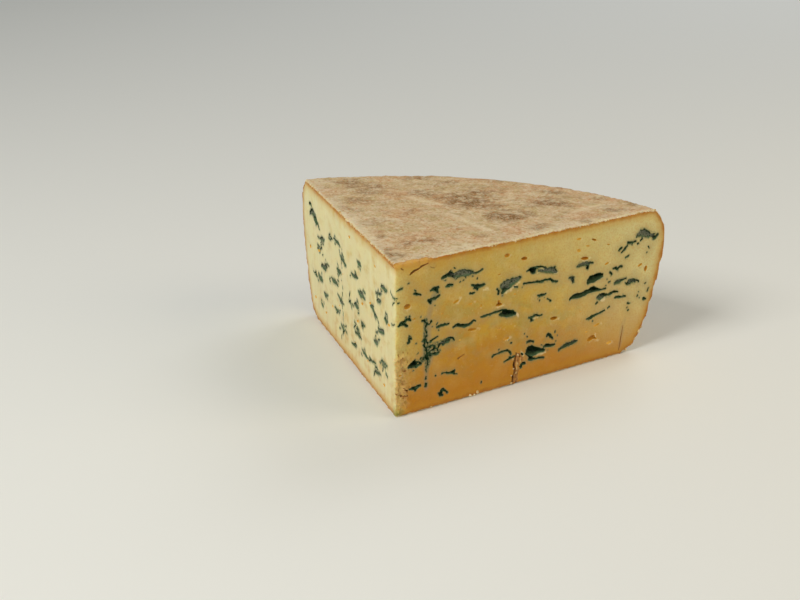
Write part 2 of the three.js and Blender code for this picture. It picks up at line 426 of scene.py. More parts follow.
# %% Openings along the needle hole
NEEDLE_HOLE = [
    (0.9, 0.1, [(18.9, 47, 0.5), (18.4, 44, 0.7), (18.9, 41, 0.6), (18, 38, 0.8), (17.8, 35.5, 0.7), (19, 33, 0.9),
                (19.6, 30, 1.0), (20, 26.5, 0.8), (19.4, 23.6, 0.5)]),
    (0.8, 0.2, [(19.2, 29.6, 0.8), (21.4, 31.4, 0.7), (23.4, 32.4, 0.8), (26.2, 32, 0.7)]),
    (0.8, 0.2, [(20.2, 34.2, 0.6), (22.6, 34.4, 0.8), (24.8, 33.6, 0.6)]),
    (1.2, 0.1, [(15.8, 48.9, 0.8), (17.4, 49, 1.3), (18.4, 47.9, 1.1)]),
    (1.0, 0.1, [(18.9, 46.9, 1.0), (18.5, 45.2, 1.2)]),
    (1.2, 0.1, [(21.7, 48.4, 1.0), (21.9, 47, 1.3)]),
    (0.9, 0.2, [(20, 46.4, 0.8), (21.2, 46.2, 0.8)]),
    (1.1, 0.1, [(18.2, 43.6, 0.8), (18.9, 42.2, 1.2)]),
    (1.0, 0.1, [(18.6, 40.8, 1.0), (19.2, 39.9, 1.1)]),
    (1.2, 0.1, [(17.4, 39.2, 1.0), (18.2, 37.8, 1.6)]),
    (1.1, 0.1, [(17.2, 36.4, 1.3), (17.8, 35, 1.1)]),
    (1.0, 0.2, [(19.6, 37, 0.8), (20, 35.6, 0.9)]),
    (1.4, 0.1, [(18.9, 34.2, 1.0), (19.3, 32.2, 1.3)]),
    (1.6, 0.1, [(20.2, 31.2, 1.5), (19.2, 29.2, 2.2), (20.2, 27.2, 1.6)]),
    (1.2, 0.1, [(20.6, 34.6, 1.1), (21.6, 33.4, 1.0)]),
    (1.0, 0.2, [(21, 36.3, 0.8), (23.5, 37.8, 1.0), (26.3, 38.5, 0.8)]),
    (2.4, 0.0, [(23.1, 32.3, 1.9), (23.9, 32, 2.0)]),
    (1.0, 0.2, [(21.8, 30.4, 0.9), (21.6, 28.6, 1.0)]),
    (1.3, 0.3, [(22.8, 29.9, 1.3), (25, 29.3, 1.6), (27.4, 29.7, 0.9)]),
    (0.9, 0.3, [(25.4, 31, 0.8), (26.6, 30.9, 0.8)]),
    (1.2, 0.1, [(26.4, 32.2, 0.9), (27.4, 34, 1.3), (29.6, 35.4, 1.0)]),
    (1.2, 0.1, [(31, 36, 0.8), (33, 36.1, 1.1), (35.4, 35.6, 0.9), (36.8, 33.9, 0.8)]),
    (1.0, 0.7, [(28.6, 34, 1.3), (31, 34.3, 1.5), (34, 34.7, 1.0)]),
    (1.0, 0.0, [(28.8, 33.2, 0.9), (30.4, 33.4, 0.9)]),
    (1.4, 0.2, [(13.6, 25.6, 1.2), (16, 26.2, 1.5)]),
    (1.2, 0.2, [(16.8, 27.6, 1.1), (17.8, 29.2, 1.0)]),
    (1.0, 0.2, [(13, 27.8, 1.0), (14, 27.3, 0.9)]),
    (1.0, 0.2, [(15.2, 28.6, 0.8), (16, 29.4, 0.8)]),
    (1.0, 0.2, [(20.3, 25.9, 1.0), (19.6, 24.4, 1.1)]),
    (0.8, 0.3, [(18.8, 22.8, 0.8), (18.9, 21.6, 0.7)]),
    (1.0, 0.2, [(18.9, 18.6, 0.7), (18.6, 16.8, 1.0)]),
    (1.0, 0.2, [(18.8, 14.9, 0.8), (18.4, 12.6, 1.3)]),
]

# %% Openings in the middle, upper half
MIDDLE_UPPER = [
    (1.1, 0.0, [(50.5, 65, 1.2), (51.1, 64.6, 1.1)]),
    (1.6, 0.3, [(47, 62, 0.9), (50, 60.9, 1.7), (53, 60.3, 2.1), (56.2, 60.6, 0.9)]),
    (1.6, 0.4, [(50, 60, 2.0), (51.4, 58.5, 1.4)]),
    (1.1, 0.0, [(46, 57.6, 1.0), (48, 57.2, 1.2), (49.8, 57.4, 0.8)]),
    (1.1, 0.1, [(63.6, 56.5, 0.8), (65, 55.3, 1.1), (64.6, 53.2, 1.3)]),
    (1.5, 0.9, [(66.2, 57, 2.4), (68.6, 57.4, 4.8), (71, 57.6, 5.4), (74, 58.5, 4.2), (77, 59.2, 2.8),
                (79.8, 59.6, 1.3)]),
    (2.4, 0.2, [(67.2, 53.6, 1.9), (69.3, 55.2, 2.6), (72, 55.4, 1.4)]),
    (1.0, 0.2, [(75.3, 55.3, 1.0), (77.8, 54.8, 0.8)]),
    (4.6, 0.0, [(85.9, 62.3, 1.6), (87.6, 61.6, 3.5), (89.6, 61.2, 2.8)]),
    (1.1, 0.0, [(83.5, 62.1, 1.0), (86, 63.1, 1.1), (90, 63.3, 1.2), (94, 62.8, 1.1), (97, 61.4, 1.0)]),
    (1.2, 1.0, [(91.2, 61, 1.4), (94, 60.6, 1.6), (97, 60.2, 2.2), (99.5, 59.9, 3.0), (102, 59.2, 2.8),
                (104.2, 57.8, 1.5)]),
    (1.3, 0.1, [(81.4, 55.7, 0.9), (85, 55.6, 1.1), (88, 55.3, 1.1), (91, 55.2, 1.3), (93, 54.7, 1.5),
                (97, 55, 1.1), (99.6, 54.8, 1.2), (101.8, 53.3, 1.5), (105, 52.6, 0.9)]),
    (1.6, 0.0, [(91.3, 47.3, 0.8), (94.5, 47, 1.6), (97.5, 47.2, 0.8)]),
    (1.1, 0.0, [(92.5, 44.3, 1.3), (93, 44, 1.2)]),
    (0.8, 0.0, [(97.9, 44.2, 0.7), (100.5, 42.8, 0.7)]),
    (1.1, 0.0, [(53.3, 43.2, 0.9), (58, 43.4, 1.1), (64, 43.9, 1.1), (69, 43.9, 1.1), (71, 43.2, 0.9)]),
    (3.6, 0.3, [(65.6, 41.6, 1.3), (68, 41.9, 3.2), (71, 41.4, 4.2), (74, 40.9, 3.7), (76.8, 40, 1.4)]),
]

# %% Openings in the middle, lower half
MIDDLE_LOWER = [
    (1.1, 0.2, [(85.2, 36.2, 0.9), (87.5, 35.9, 1.1), (90.5, 36.6, 1.1), (92.6, 35.8, 1.0), (95, 35.8, 0.8)]),
    (1.2, 0.0, [(86.9, 34.3, 1.5), (87.7, 33.9, 1.2)]),
    (1.0, 0.2, [(61.2, 18.9, 1.2), (62.5, 20, 1.1), (65, 20.3, 1.0), (69, 20.7, 1.0), (72, 20.5, 1.1),
                (73.2, 19.5, 1.3), (74.2, 17.8, 0.9)]),
    (1.0, 0.0, [(69.3, 14.7, 0.8), (72, 15.2, 1.0), (75, 15.9, 1.1), (77, 16.5, 0.9)]),
    (0.8, 0.4, [(54.1, 6.8, 1.0), (54.8, 6.7, 1.0)]),
    (0.9, 0.0, [(73.2, 24.4, 0.8), (74.6, 24.2, 0.8)]),
    (0.9, 0.0, [(84.5, 25.7, 0.8), (85.2, 25.5, 0.8)]),
    (1.1, 0.1, [(80.8, 17, 0.9), (82.3, 15.8, 1.0)]),
    (1.4, 0.1, [(80.5, 8.9, 1.0), (82, 10.6, 1.9), (84.4, 10.6, 1.4)]),
    (5.0, 0.3, [(84.4, 17.8, 4.0), (87.4, 16.8, 6.8), (90.4, 16, 5.2), (94, 15.6, 3.0), (97.5, 14.9, 1.4)]),
    (3.2, 0.3, [(86, 13, 2.8), (88.4, 12, 2.2), (91, 11.4, 1.2)]),
    (1.2, 0.0, [(91, 11.3, 1.0), (94, 11.4, 1.1), (97.3, 10.8, 0.8)]),
    (1.3, 0.4, [(84.6, 22.2, 1.3), (87, 22.5, 1.0), (89.6, 21.7, 1.2)]),
    (1.1, 0.4, [(97.8, 22.4, 1.3), (99.8, 23.4, 1.5), (101.4, 22, 1.6), (103, 20.4, 0.8)]),
    (1.4, 0.0, [(103.8, 24.3, 1.5), (104.6, 24.1, 1.4)]),
    (0.9, 0.1, [(104.7, 18.7, 1.0), (105.4, 18.5, 0.9)]),
    (2.4, 0.1, [(96, 17.2, 0.9), (98.5, 17.5, 2.1), (101, 16.9, 1.9), (104.6, 16.8, 0.9)]),
    (1.7, 0.7, [(107, 12.7, 1.1), (110, 14, 1.9), (113, 14.8, 2.3), (117, 15.1, 2.1), (120.5, 15.5, 0.9)]),
    (1.7, 0.1, [(126.3, 26.5, 0.8), (130, 26.9, 2.0), (133, 27.7, 1.3), (136, 28.1, 1.1), (140, 28.9, 0.9)]),
    (1.0, 0.1, [(142, 29.6, 0.9), (143.6, 30.5, 1.1)]),
]

# %% Openings towards the heel
TOWARDS_HEEL = [
    (1.3, 0.7, [(112.8, 52.9, 0.9), (114.6, 52.8, 1.4), (115.4, 51.3, 1.9), (116.2, 49.8, 1.2)]),
    (0.9, 0.0, [(112.8, 53.2, 0.8), (116.6, 52.9, 0.8)]),
    (1.3, 0.9, [(118, 58.3, 0.9), (121, 58.9, 1.7), (124, 58.8, 2.1), (127.5, 58.3, 1.2)]),
    (0.9, 0.0, [(124, 59.8, 0.8), (127.4, 58.9, 0.8), (130, 58.2, 0.9)]),
    (2.0, 0.1, [(124.9, 56.6, 2.0), (126.6, 56, 2.1)]),
    (4.6, 0.0, [(126, 47, 1.6), (128, 48.8, 4.4), (131, 49.2, 5.0), (134, 49.7, 4.2), (137.6, 50, 2.2)]),
    (4.0, 0.0, [(113.6, 40.3, 0.9), (116, 41.5, 2.4), (119, 41.6, 3.2), (122, 41.5, 2.8), (126, 42.3, 2.8),
                (130, 43, 3.6), (132.6, 42.4, 2.5), (136, 41.7, 1.1), (140, 41.8, 0.9)]),
    (2.2, 0.1, [(133.5, 37.4, 1.0), (136, 38.5, 1.4), (139, 38.2, 1.9), (142, 37.7, 1.3), (146, 38.5, 1.7),
                (149.6, 37.8, 0.9)]),
    (1.1, 0.9, [(134.4, 37, 1.4), (136.6, 36.8, 1.8), (138.6, 37, 1.0)]),
    (1.2, 0.0, [(132.8, 34, 1.2), (134.6, 34.8, 1.0)]),
    (1.3, 0.1, [(146.5, 34.8, 1.0), (149.5, 34.9, 1.5), (152, 34.3, 1.0), (154, 34.6, 1.3), (155.3, 34, 0.9)]),
    (1.2, 0.2, [(142, 50.6, 1.4), (143.6, 49.6, 1.0)]),
    (1.2, 0.3, [(144.4, 52, 0.9), (147, 52.2, 1.3), (148.2, 51, 1.2), (149.6, 52.5, 1.3), (152, 52, 0.9)]),
    (0.8, 0.0, [(141.3, 44.9, 0.9), (143.2, 45.3, 0.8)]),
    (1.4, 0.7, [(146, 43.3, 1.2), (149, 44, 2.0), (152, 44.3, 1.6), (155, 44.6, 0.9)]),
    (1.2, 0.0, [(155.2, 40.9, 1.0), (156.6, 42.5, 1.3), (159, 43.1, 1.0), (162, 42.3, 0.9), (165, 40.8, 1.0)]),
    (1.1, 0.9, [(157.6, 41.6, 1.2), (159.6, 41.8, 1.4), (162, 41.4, 1.0)]),
    (0.9, 0.0, [(155.8, 40.8, 0.9), (158.6, 40.8, 0.8)]),
    (1.1, 0.1, [(148.3, 61.6, 1.1), (149.4, 63, 0.9), (151, 63.4, 0.8)]),
    (1.2, 0.2, [(149.8, 60.2, 0.9), (151.6, 61, 1.0), (153.4, 62.7, 1.7), (154.6, 64, 0.9)]),
    (1.3, 0.3, [(154.3, 65.4, 1.3), (156, 65, 1.5), (158, 64.8, 1.1), (161, 65, 1.0)]),
    (1.4, 1.0, [(160.9, 66.6, 1.0), (162, 68.2, 2.4), (164.6, 68.9, 4.2), (167, 68.7, 4.6), (169.5, 67.4, 3.8),
                (172, 66.5, 2.1), (174.5, 66, 2.4)]),
    (2.8, 0.0, [(164.6, 65.6, 2.2), (165.2, 64.8, 2.4)]),
    (2.0, 0.1, [(173.6, 64.6, 2.2), (175.2, 64.6, 2.4), (177.8, 66.4, 1.2)]),
    (1.1, 0.0, [(161.9, 63.2, 1.2), (163.2, 63.5, 1.3)]),
    (2.4, 0.0, [(170.7, 59.4, 2.3), (171.3, 59.8, 2.2)]),
    (0.8, 0.3, [(153.4, 56.7, 0.9), (156.6, 57.8, 0.8)]),
    (1.0, 0.1, [(169.8, 39.2, 1.3), (170, 38.6, 1.2)]),
    (1.0, 0.1, [(163.8, 32.8, 1.4), (164.6, 32.4, 1.4)]),
    (0.8, 0.4, [(171.5, 34.3, 1.0), (172.2, 34.1, 0.9)]),
    (1.6, 0.0, [(168.2, 30, 1.7), (169.2, 29.8, 1.8), (171.2, 29.2, 0.8)]),
    (1.1, 0.1, [(157, 30, 1.4), (157.4, 29.2, 1.4)]),
    (0.9, 0.2, [(156.6, 27.2, 1.1), (156.9, 26.8, 1.1)]),
    (1.1, 0.1, [(157.4, 25.5, 1.3), (157.8, 24.9, 1.2)]),
]

# %% Specks beside the openings
SPECKS = 90
SPECK_THICKNESS = 0.5

placed = NEAR_TIP + NEEDLE_HOLE + MIDDLE_UPPER + MIDDLE_LOWER + TOWARDS_HEEL
RIGHT_VEINS = list(placed)
speck_draw = random.Random(29)
for _ in range(SPECKS):
    _, _, beside = speck_draw.choice(placed)
    along, up, thickness = speck_draw.choice(beside)
    along += speck_draw.gauss(0, 2.2)
    up += speck_draw.choice((-1, 1)) * (thickness / 2 + speck_draw.uniform(0.5, 1.8))
    length, slope = speck_draw.uniform(0.3, 1.6), speck_draw.gauss(0.1, 0.5)
    if along > 1:
        ends = (along, up, SPECK_THICKNESS), (along + length, up + slope * length, SPECK_THICKNESS)
        RIGHT_VEINS.append((0.7, 0.2, ends))
print(len(RIGHT_VEINS), "openings at the right-hand cut")

# %% [markdown]
# ## Where the mould shows at the left-hand cut
#
# The other cut is hardly seen in the view, so its openings follow a rule: the large ones are spread evenly, as in
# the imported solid, and seeded draws add splinters beside them and groups of thin ones between. Near the heel is
# one larger blue patch, and a needle hole runs up the cut past its middle. This cut went through the layers at a
# slant, so more grey fur lies open in it.

# %% Openings at the left-hand cut
LEFT_LARGE = 30
NEAREST, FURTHEST = 14, 168  # how far from the tip the middles of the large ones lie, in millimetres
LOWEST, HIGHEST = 11, 68
SPLINTERS = 2  # beside each large one
LEFT_GROUPS = 11
TRACK_ALONG = 97  # where the needle hole runs
TRACK_STEPS = 15
draw = random.Random(73)


def fraction(value):
    """What follows the decimal point. Multiples of an odd share, cut to it, spread evenly from 0 to 1."""
    return value - math.floor(value)


def wandering_path(distance, height, length, thickness, lean):
    """A path of that length, thickest near its middle, which wanders as it goes."""
    count = max(2, round(length / 2.6) + 1)
    path = []
    for step in range(count):
        share = step / (count - 1) - 0.5
        swell = (1 - 0.7 * (2 * share) ** 2) * draw.uniform(0.75, 1.1)
        along = distance + share * length * math.cos(lean)
        up = height + share * length * math.sin(lean) + draw.uniform(-0.22, 0.22) * thickness
        path.append((along, up, max(0.6, thickness * swell)))
    return path


LEFT_VEINS = [
    (0.7, 0.1, [(0, 64.2, 0.6), (2.5, 63.2, 0.7), (5.5, 64, 0.5), (8, 65.4, 0.5)]),
    (0.7, 0.2, [(0.4, 61.8, 0.5), (3, 60.8, 0.6), (5, 59, 0.5)]),
    (0.7, 0.0, [(2, 49.8, 0.5), (5, 48.4, 0.6), (7, 48.8, 0.5)]),
    (1.5, 0.9, [(148, 62, 1.2), (152, 64, 3.0), (157, 65.4, 4.2), (162, 65, 3.4), (166, 62.6, 1.6)]),
    (2.4, 0.1, [(151, 60.4, 1.6), (154, 61.8, 2.6), (156, 63, 1.8)]),
    (2.0, 0.2, [(161, 68.4, 1.0), (164, 69.4, 2.2), (167, 68.2, 1.2)]),
]

# The large openings, each with its splinters.
for order in range(1, LEFT_LARGE + 1):
    size = fraction(0.3 + 0.3819 * order)
    middle = NEAREST + (FURTHEST - NEAREST) * fraction(0.5 + 0.7549 * order)
    level = LOWEST + (HIGHEST - LOWEST) * fraction(0.5 + 0.5698 * order)
    length = 6 + 9 * size
    thickness = 1.5 + 2.0 * fraction(0.1 + 0.4142 * order)
    lean = math.radians(28 * (fraction(0.7321 * order) - 0.5))
    furry = draw.choice((0.7, 0.9, 1.0))
    LEFT_VEINS.append((1.1 + 1.1 * size, furry, wandering_path(middle, level, length, thickness, lean)))
    for _ in range(SPLINTERS):
        LEFT_VEINS.append((0.9, draw.choice((0.7, 1.0)), wandering_path(
            distance=middle + draw.uniform(-0.7, 0.7) * length, height=level + draw.choice((-1, 1)) * thickness,
            length=draw.uniform(1.5, 4.5), thickness=draw.uniform(0.6, 1.0), lean=lean + draw.gauss(0, 0.35),
        )))

# Groups of thin ones.
for order in range(LEFT_GROUPS):
    middle = 8 + 162 * fraction(0.2 + 0.6180 * order)
    level = 8 + 52 * fraction(0.1 + 0.7236 * order)
    for _ in range(draw.randint(3, 6)):
        LEFT_VEINS.append((draw.uniform(0.8, 1.2), draw.choice((0.7, 0.9, 1.0)), wandering_path(
            distance=middle + draw.gauss(0, 4), height=level + draw.gauss(0, 2.6),
            length=draw.uniform(1.5, 6), thickness=draw.uniform(0.6, 1.3), lean=math.radians(draw.gauss(-6, 22)),
        )))

# The needle hole, in upright pieces one above the other.
for order in range(TRACK_STEPS):
    LEFT_VEINS.append((0.8, 0.6, wandering_path(
        distance=TRACK_ALONG + draw.gauss(0, 0.9), height=8 + 3.8 * order, length=draw.uniform(0.8, 3.2),
        thickness=draw.uniform(0.5, 1.0), lean=math.radians(draw.gauss(84, 16)),
    )))
print(len(LEFT_VEINS), "openings at the left-hand cut")

# %% [markdown]
# ## From a path to an opening
#
# An opening starts as a thread: a Bezier curve in the cut's own plane, as thick at every point as its path says.
# Turned to a mesh, it is stretched to its depth, laid in the cut and made lumpy. All threads are then joined.


# %% Helpers for openings
RUBBED_WIDER = 0.04  # mm, as the knife rubs the soft edges of an opening away
LARGEST_LUMP = 1.7  # mm


def add_thread(path):
    """A curve along a path in millimetres, round in section and closed at both ends."""
    bpy.ops.curve.primitive_bezier_curve_add()
    thread = bpy.context.object
    thread.data.bevel_depth = 0.5 * MM  # so that a point's radius is the thickness there
    thread.data.bevel_resolution = 3
    thread.data.use_fill_caps = True
    spline = thread.data.splines[0]
    spline.resolution_u = 7
    spline.bezier_points.add(len(path) - 2)
    for point, (along, up, thickness) in zip(spline.bezier_points, path):
        point.co = Vector((along, 0, up)) * MM
        point.radius = thickness + RUBBED_WIDER
        point.handle_left_type = point.handle_right_type = "AUTO"
    return thread


def join_threads(name, openings, ragged):
    """One mesh of all openings, given as side, depth and path. ragged is how rough their outlines are."""
    bpy.ops.object.select_all(action="DESELECT")
    threads = []
    for side, depth, path in openings:
        threads.append((add_thread(path), side, depth, max(thickness for _, _, thickness in path)))
    meshes = [thread for thread, *_ in threads]
    select(*meshes)
    bpy.ops.object.convert(target="MESH")
    lumps = cloud(name + " lumps", LARGEST_LUMP * MM)
    for thread, side, depth, thickness in threads:
        stretch = Matrix.Diagonal((1, 2 * depth / (thickness + RUBBED_WIDER), 1, 1))
        thread.data.transform(CUTS[side] @ stretch)
        lumpy = thread.modifiers.new("Lumps", "DISPLACE")
        lumpy.texture = lumps
        lumpy.strength = ragged * min(thickness, LARGEST_LUMP) * MM
    select(*meshes)
    bpy.ops.object.convert(target="MESH")
    bpy.ops.object.join()
    cutter = bpy.context.object
    cutter.name = name
    return cutter


# %% [markdown]
# ## Take out the mouldy openings
#
# A cutter's parts are fused by a fine voxel remesh and roughened, and one Boolean difference takes them out. Its
# Manifold solver is fast and exact enough for thousands of small faces. Each cutter brings its own material, so the
# walls of a hollow are lined with it. Before that the right-hand cut, which is seen from near, gets smaller faces
# round its openings, to hold the fine edges that are painted there later.

# %% Carve the mouldy openings
CUTTER_STEP = 0.36 * MM
KEPT_FACES = 0.35  # the share of a cutter's faces that is enough for its shape

paste_and_rind = bpy.data.materials.new("Blue cheese paste and dry natural rind")
mould_lining = bpy.data.materials.new("Blue mould on the wall of an opening")
hole_lining = bpy.data.materials.new("Bare wall of a gas hole")
crack_lining = bpy.data.materials.new("Torn paste in a crack")
wheel.data.materials.append(paste_and_rind)


def take_out(cutter, material, grain, height):
    """Hollows the wedge out by the cutter, roughened by grains of that size and height in millimetres. The cutter's
    material lines the hollows."""
    apply_modifier(cutter, "REMESH", mode="VOXEL", voxel_size=CUTTER_STEP)
    apply_modifier(cutter, "DISPLACE", texture=cloud(material.name, grain * MM), strength=height * MM)
    apply_modifier(cutter, "DECIMATE", ratio=KEPT_FACES)
    cutter.data.materials.clear()
    cutter.data.materials.append(material)
    apply_modifier(
        wheel, "BOOLEAN", operation="DIFFERENCE", solver="MANIFOLD", material_mode="TRANSFER", object=cutter
    )
    bpy.data.objects.remove(cutter)
    print(material.name, "-", triangles(wheel), "triangles")


def near_openings(points):
    """Whether a point of the right-hand cut is within 2 mm of a mouldy opening."""
    local = in_cut(points, CUTS["right"])
    on_cut = np.flatnonzero(local[:, 1] < 1)
    gaps = [from_path(local[on_cut][:, (0, 2)], path)[0] for _, _, path in RIGHT_VEINS]
    near = np.zeros(len(points), dtype=bool)
    near[on_cut] = np.min(gaps, axis=0) < 2
    return near


refine(wheel, near_openings(places(wheel)))
print("finer round the openings:", triangles(wheel), "triangles")
veins = [("right", depth, path) for depth, _, path in RIGHT_VEINS]
veins += [("left", depth, path) for depth, _, path in LEFT_VEINS]
take_out(join_threads("mould openings", veins, ragged=0.75), mould_lining, grain=0.8, height=0.45)

# %% [markdown]
# ## Cracks and torn places
#
# The paste is firm and a little crumbly, so the knife tore it near the tip, and it cracked where the wheel was
# lifted. These openings are shallow and bare, with walls the colour of drying paste.

# %% Carve the cracks
RIGHT_CRACKS = [
    (2.4, [(8.5, 74.6, 0.6), (11, 76, 1.4), (13, 76.6, 1.1), (15.6, 77.6, 1.1), (20, 78.8, 0.6)]),
    (0.8, [(3.5, 79, 0.5), (5.2, 77.8, 0.5)]),
    (0.6, [(21, 76.6, 0.4), (24, 75.4, 0.4)]),
    (1.3, [(-0.4, 13, 1.0), (1.3, 12.5, 0.9)]),
    (1.3, [(2.8, 11.6, 1.4), (5, 11, 1.1), (8, 10, 0.9)]),
    (1.1, [(4.4, 15.5, 1.0), (6, 14, 0.9), (7.6, 13, 0.9)]),
    (0.9, [(3.8, 24.9, 0.9), (5.8, 24, 0.8)]),
    (1.6, [(38.7, 23.5, 1.0), (40.5, 24.2, 0.7), (43.3, 25, 0.6)]),
    (2.3, [(77.5, 18.6, 0.9), (77.3, 15, 1.6), (76.3, 11.5, 2.0), (77.1, 8, 1.5), (75.9, 4, 1.9), (75.3, -1, 1.6)]),
    (0.7, [(79.6, 17.4, 1.2), (79, 13, 1.9), (79.7, 9, 1.3), (78.3, 5, 2.0), (78.6, -1, 1.7)]),
    (1.0, [(79.6, 16.8, 1.2), (80.6, 14.6, 1.6)]),
    (0.6, [(81, 13, 1.6), (82.6, 14.2, 1.3)]),
    (0.9, [(154.6, 17, 0.5), (153.4, 11, 0.7), (152.6, 6, 0.7), (151.8, 2.5, 0.5)]),
]
LEFT_CRACKS = [
    (1.2, [(1, 79.2, 0.6), (5, 79.5, 0.8), (9, 79.2, 0.5), (14, 79.6, 0.7), (19, 79.6, 0.4)]),
    (0.8, [(26, 79.5, 0.4), (31, 79.7, 0.6), (35, 79.6, 0.4)]),
]
TEARS = 16
for _ in range(TEARS):
    RIGHT_CRACKS.append((draw.uniform(0.4, 0.7), wandering_path(
        distance=draw.uniform(1, 8), height=draw.uniform(3, 38), length=draw.uniform(0.8, 2.0),
        thickness=draw.uniform(0.3, 0.6), lean=math.radians(draw.uniform(20, 130)),
    )))

cracks = [("right", depth, path) for depth, path in RIGHT_CRACKS]
cracks += [("left", depth, path) for depth, path in LEFT_CRACKS]
take_out(join_threads("cracks", cracks, ragged=0.8), crack_lining, grain=0.9, height=0.4)

# %% [markdown]
# ## Gas holes
#
# Gas left smooth little holes, squeezed flat as the wheel was pressed. Each is an icosphere stretched along the
# cut. They are (along, up, half length, half height, depth, lean in degrees), again in millimetres.

# %% Carve the gas holes
RIGHT_HOLES = [
    (70, 73.5, 1.9, 1.1, 1.6, 0), (81.6, 69.6, 2.1, 1.0, 2.4, -6), (46.6, 51.8, 1.9, 0.6, 0.8, 4),
    (53.8, 49.5, 0.9, 0.8, 0.8, 0), (65.5, 47.5, 2.4, 0.8, 2.4, -3), (65.4, 48.8, 1.0, 1.5, 2.0, 0),
    (75.8, 51.3, 1.1, 0.6, 0.5, 0), (65, 64.2, 1.3, 0.4, 0.5, 0), (48, 37.5, 3.1, 0.8, 1.8, -6),
    (66, 33.6, 1.9, 0.5, 0.6, -4), (70.6, 27.6, 2.1, 0.9, 1.0, 4), (103, 32.1, 2.7, 1.0, 2.6, -5),
    (123.6, 62, 2.9, 1.0, 2.2, -8), (129.8, 71.4, 1.9, 0.6, 1.4, -20), (119, 73.7, 1.9, 0.7, 0.6, 0),
    (119.2, 67.2, 1.6, 1.0, 0.8, -20), (125.4, 68.7, 1.7, 0.5, 0.4, -12), (37.5, 55, 2.2, 0.8, 1.0, 16),
    (28.7, 50.2, 0.9, 0.4, 0.5, 0), (7.2, 58.5, 2.0, 1.4, 1.9, 0), (130.6, 14.5, 3.1, 1.4, 2.6, 16),
    (133.4, 14, 1.9, 0.7, 1.4, -28), (134.5, 21.6, 2.3, 0.8, 0.8, 10), (165, 50.5, 2.0, 0.8, 1.0, 16),
    (169.6, 47.6, 1.2, 1.8, 1.8, -14), (144.2, 9, 2.2, 1.0, 0.6, 0), (140.4, 66.8, 1.3, 0.45, 0.6, -14),
    (139.8, 56.1, 1.8, 0.6, 0.7, 14), (122, 31.8, 1.6, 0.4, 0.3, -10), (11.3, 51.2, 0.9, 0.4, 0.5, 0),
    (2.8, 22.6, 1.0, 0.7, 0.8, 0), (127, 19, 1.1, 0.6, 0.4, 0), (40.2, 33.5, 1.0, 0.5, 0.4, 0),
]
LEFT_HOLES = 18
holes = [("right", *hole) for hole in RIGHT_HOLES]
for order in range(LEFT_HOLES):
    half = draw.uniform(0.7, 2.0)
    holes.append((
        "left", 10 + 160 * fraction(0.35 + 0.6180 * order), draw.uniform(8, 74),
        half, half * draw.uniform(0.35, 0.7), half * draw.uniform(0.4, 0.9), draw.gauss(0, 12),
    ))

bpy.ops.object.select_all(action="DESELECT")
balls = []
for side, along, up, half_length, half_height, depth, lean in holes:
    bpy.ops.mesh.primitive_ico_sphere_add(subdivisions=3, radius=1)
    ball = bpy.context.object
    ball.data.transform(Matrix.Diagonal(Vector((half_length, depth, half_height, 1 / MM)) * MM))
    ball.data.transform(Matrix.Rotation(-math.radians(lean), 4, "Y"))
    ball.data.transform(CUTS[side] @ Matrix.Translation(Vector((along, 0, up)) * MM))
    balls.append(ball)
select(*balls)
bpy.ops.object.join()
take_out(bpy.context.object, hole_lining, grain=2, height=0.35)

# %% [markdown]
# ## What each point of the surface knows
#
# The materials need the distances again, now on the finished mesh, and more facts about every point. Each is stored
# on the mesh as an attribute, which a material can read:
#
# - gap: millimetres to the nearest mouldy opening
# - smudge: how near it is to mould that the knife rubbed out over the paste
# - fur: how much pale, furry mould is there
# - lip_highlight: a painted highlight on the lower edge of an opening, a thin edge of paste that lets the light
#   through
# - rise: how high it lies in or beside an opening, from -1 at the lower edge to 1 at the upper edge
# - haze: a faint blue shade of mould below the surface, as along the needle's track
# - lit_left_cut: 1 on the left-hand cut, which gets painted light and so is paler
# - bare and torn: where the rind was worn off, and where the tip tore
# - stain: how dark the rind is, from the damp places where it lay and ripened
# - crease: the pale, rubbed folds of the rind
#
# Marks that follow from no opening are painted. Each is a strength and a path of places as thick as the stroke.

# %% Marks on the right-hand cut
PAINTED_LIP_HIGHLIGHTS = [  # painted highlights on thin and rubbed edges of paste, which light shines through
    (1.0, [(55.3, 57.7, 1.2), (57.4, 58, 1.4)]),
    (1.0, [(75.5, 41.2, 0.8), (77.6, 39.8, 1.2), (78.3, 38.6, 0.8)]),
    (1.0, [(137, 35.4, 1.2), (139, 35.7, 1.5), (141, 36.4, 0.9)]),
    (0.7, [(89, 35, 0.9), (92, 34.9, 0.9)]),
    (0.9, [(92, 13.6, 0.9), (95, 13.4, 1.2), (98, 13.8, 0.7)]),
    (0.7, [(80.4, 18.6, 0.8), (82.4, 15.8, 1.6), (80.4, 12.4, 0.8)]),
    (0.6, [(77.8, 12.6, 0.7), (78.5, 7, 0.6), (77.2, 2, 0.7)]),
    (0.9, [(69, 53, 0.8), (73, 54.4, 0.9), (79, 57.3, 0.8)]),
    (0.7, [(102.6, 57.8, 0.8), (105, 57.4, 0.8)]),
    (0.8, [(91, 60, 0.7), (93.5, 61.6, 0.8), (96, 60.8, 0.6)]),
    (0.9, [(7.2, 56.6, 0.9), (9, 57.2, 1.1), (9.8, 59, 0.8)]),
    (0.8, [(144, 8.2, 0.9), (146, 8.8, 1.1)]),
    (0.7, [(70, 26.4, 0.8), (72.4, 27, 0.8)]),
    (0.7, [(38.5, 53.6, 0.8), (40.2, 55, 0.8)]),
]
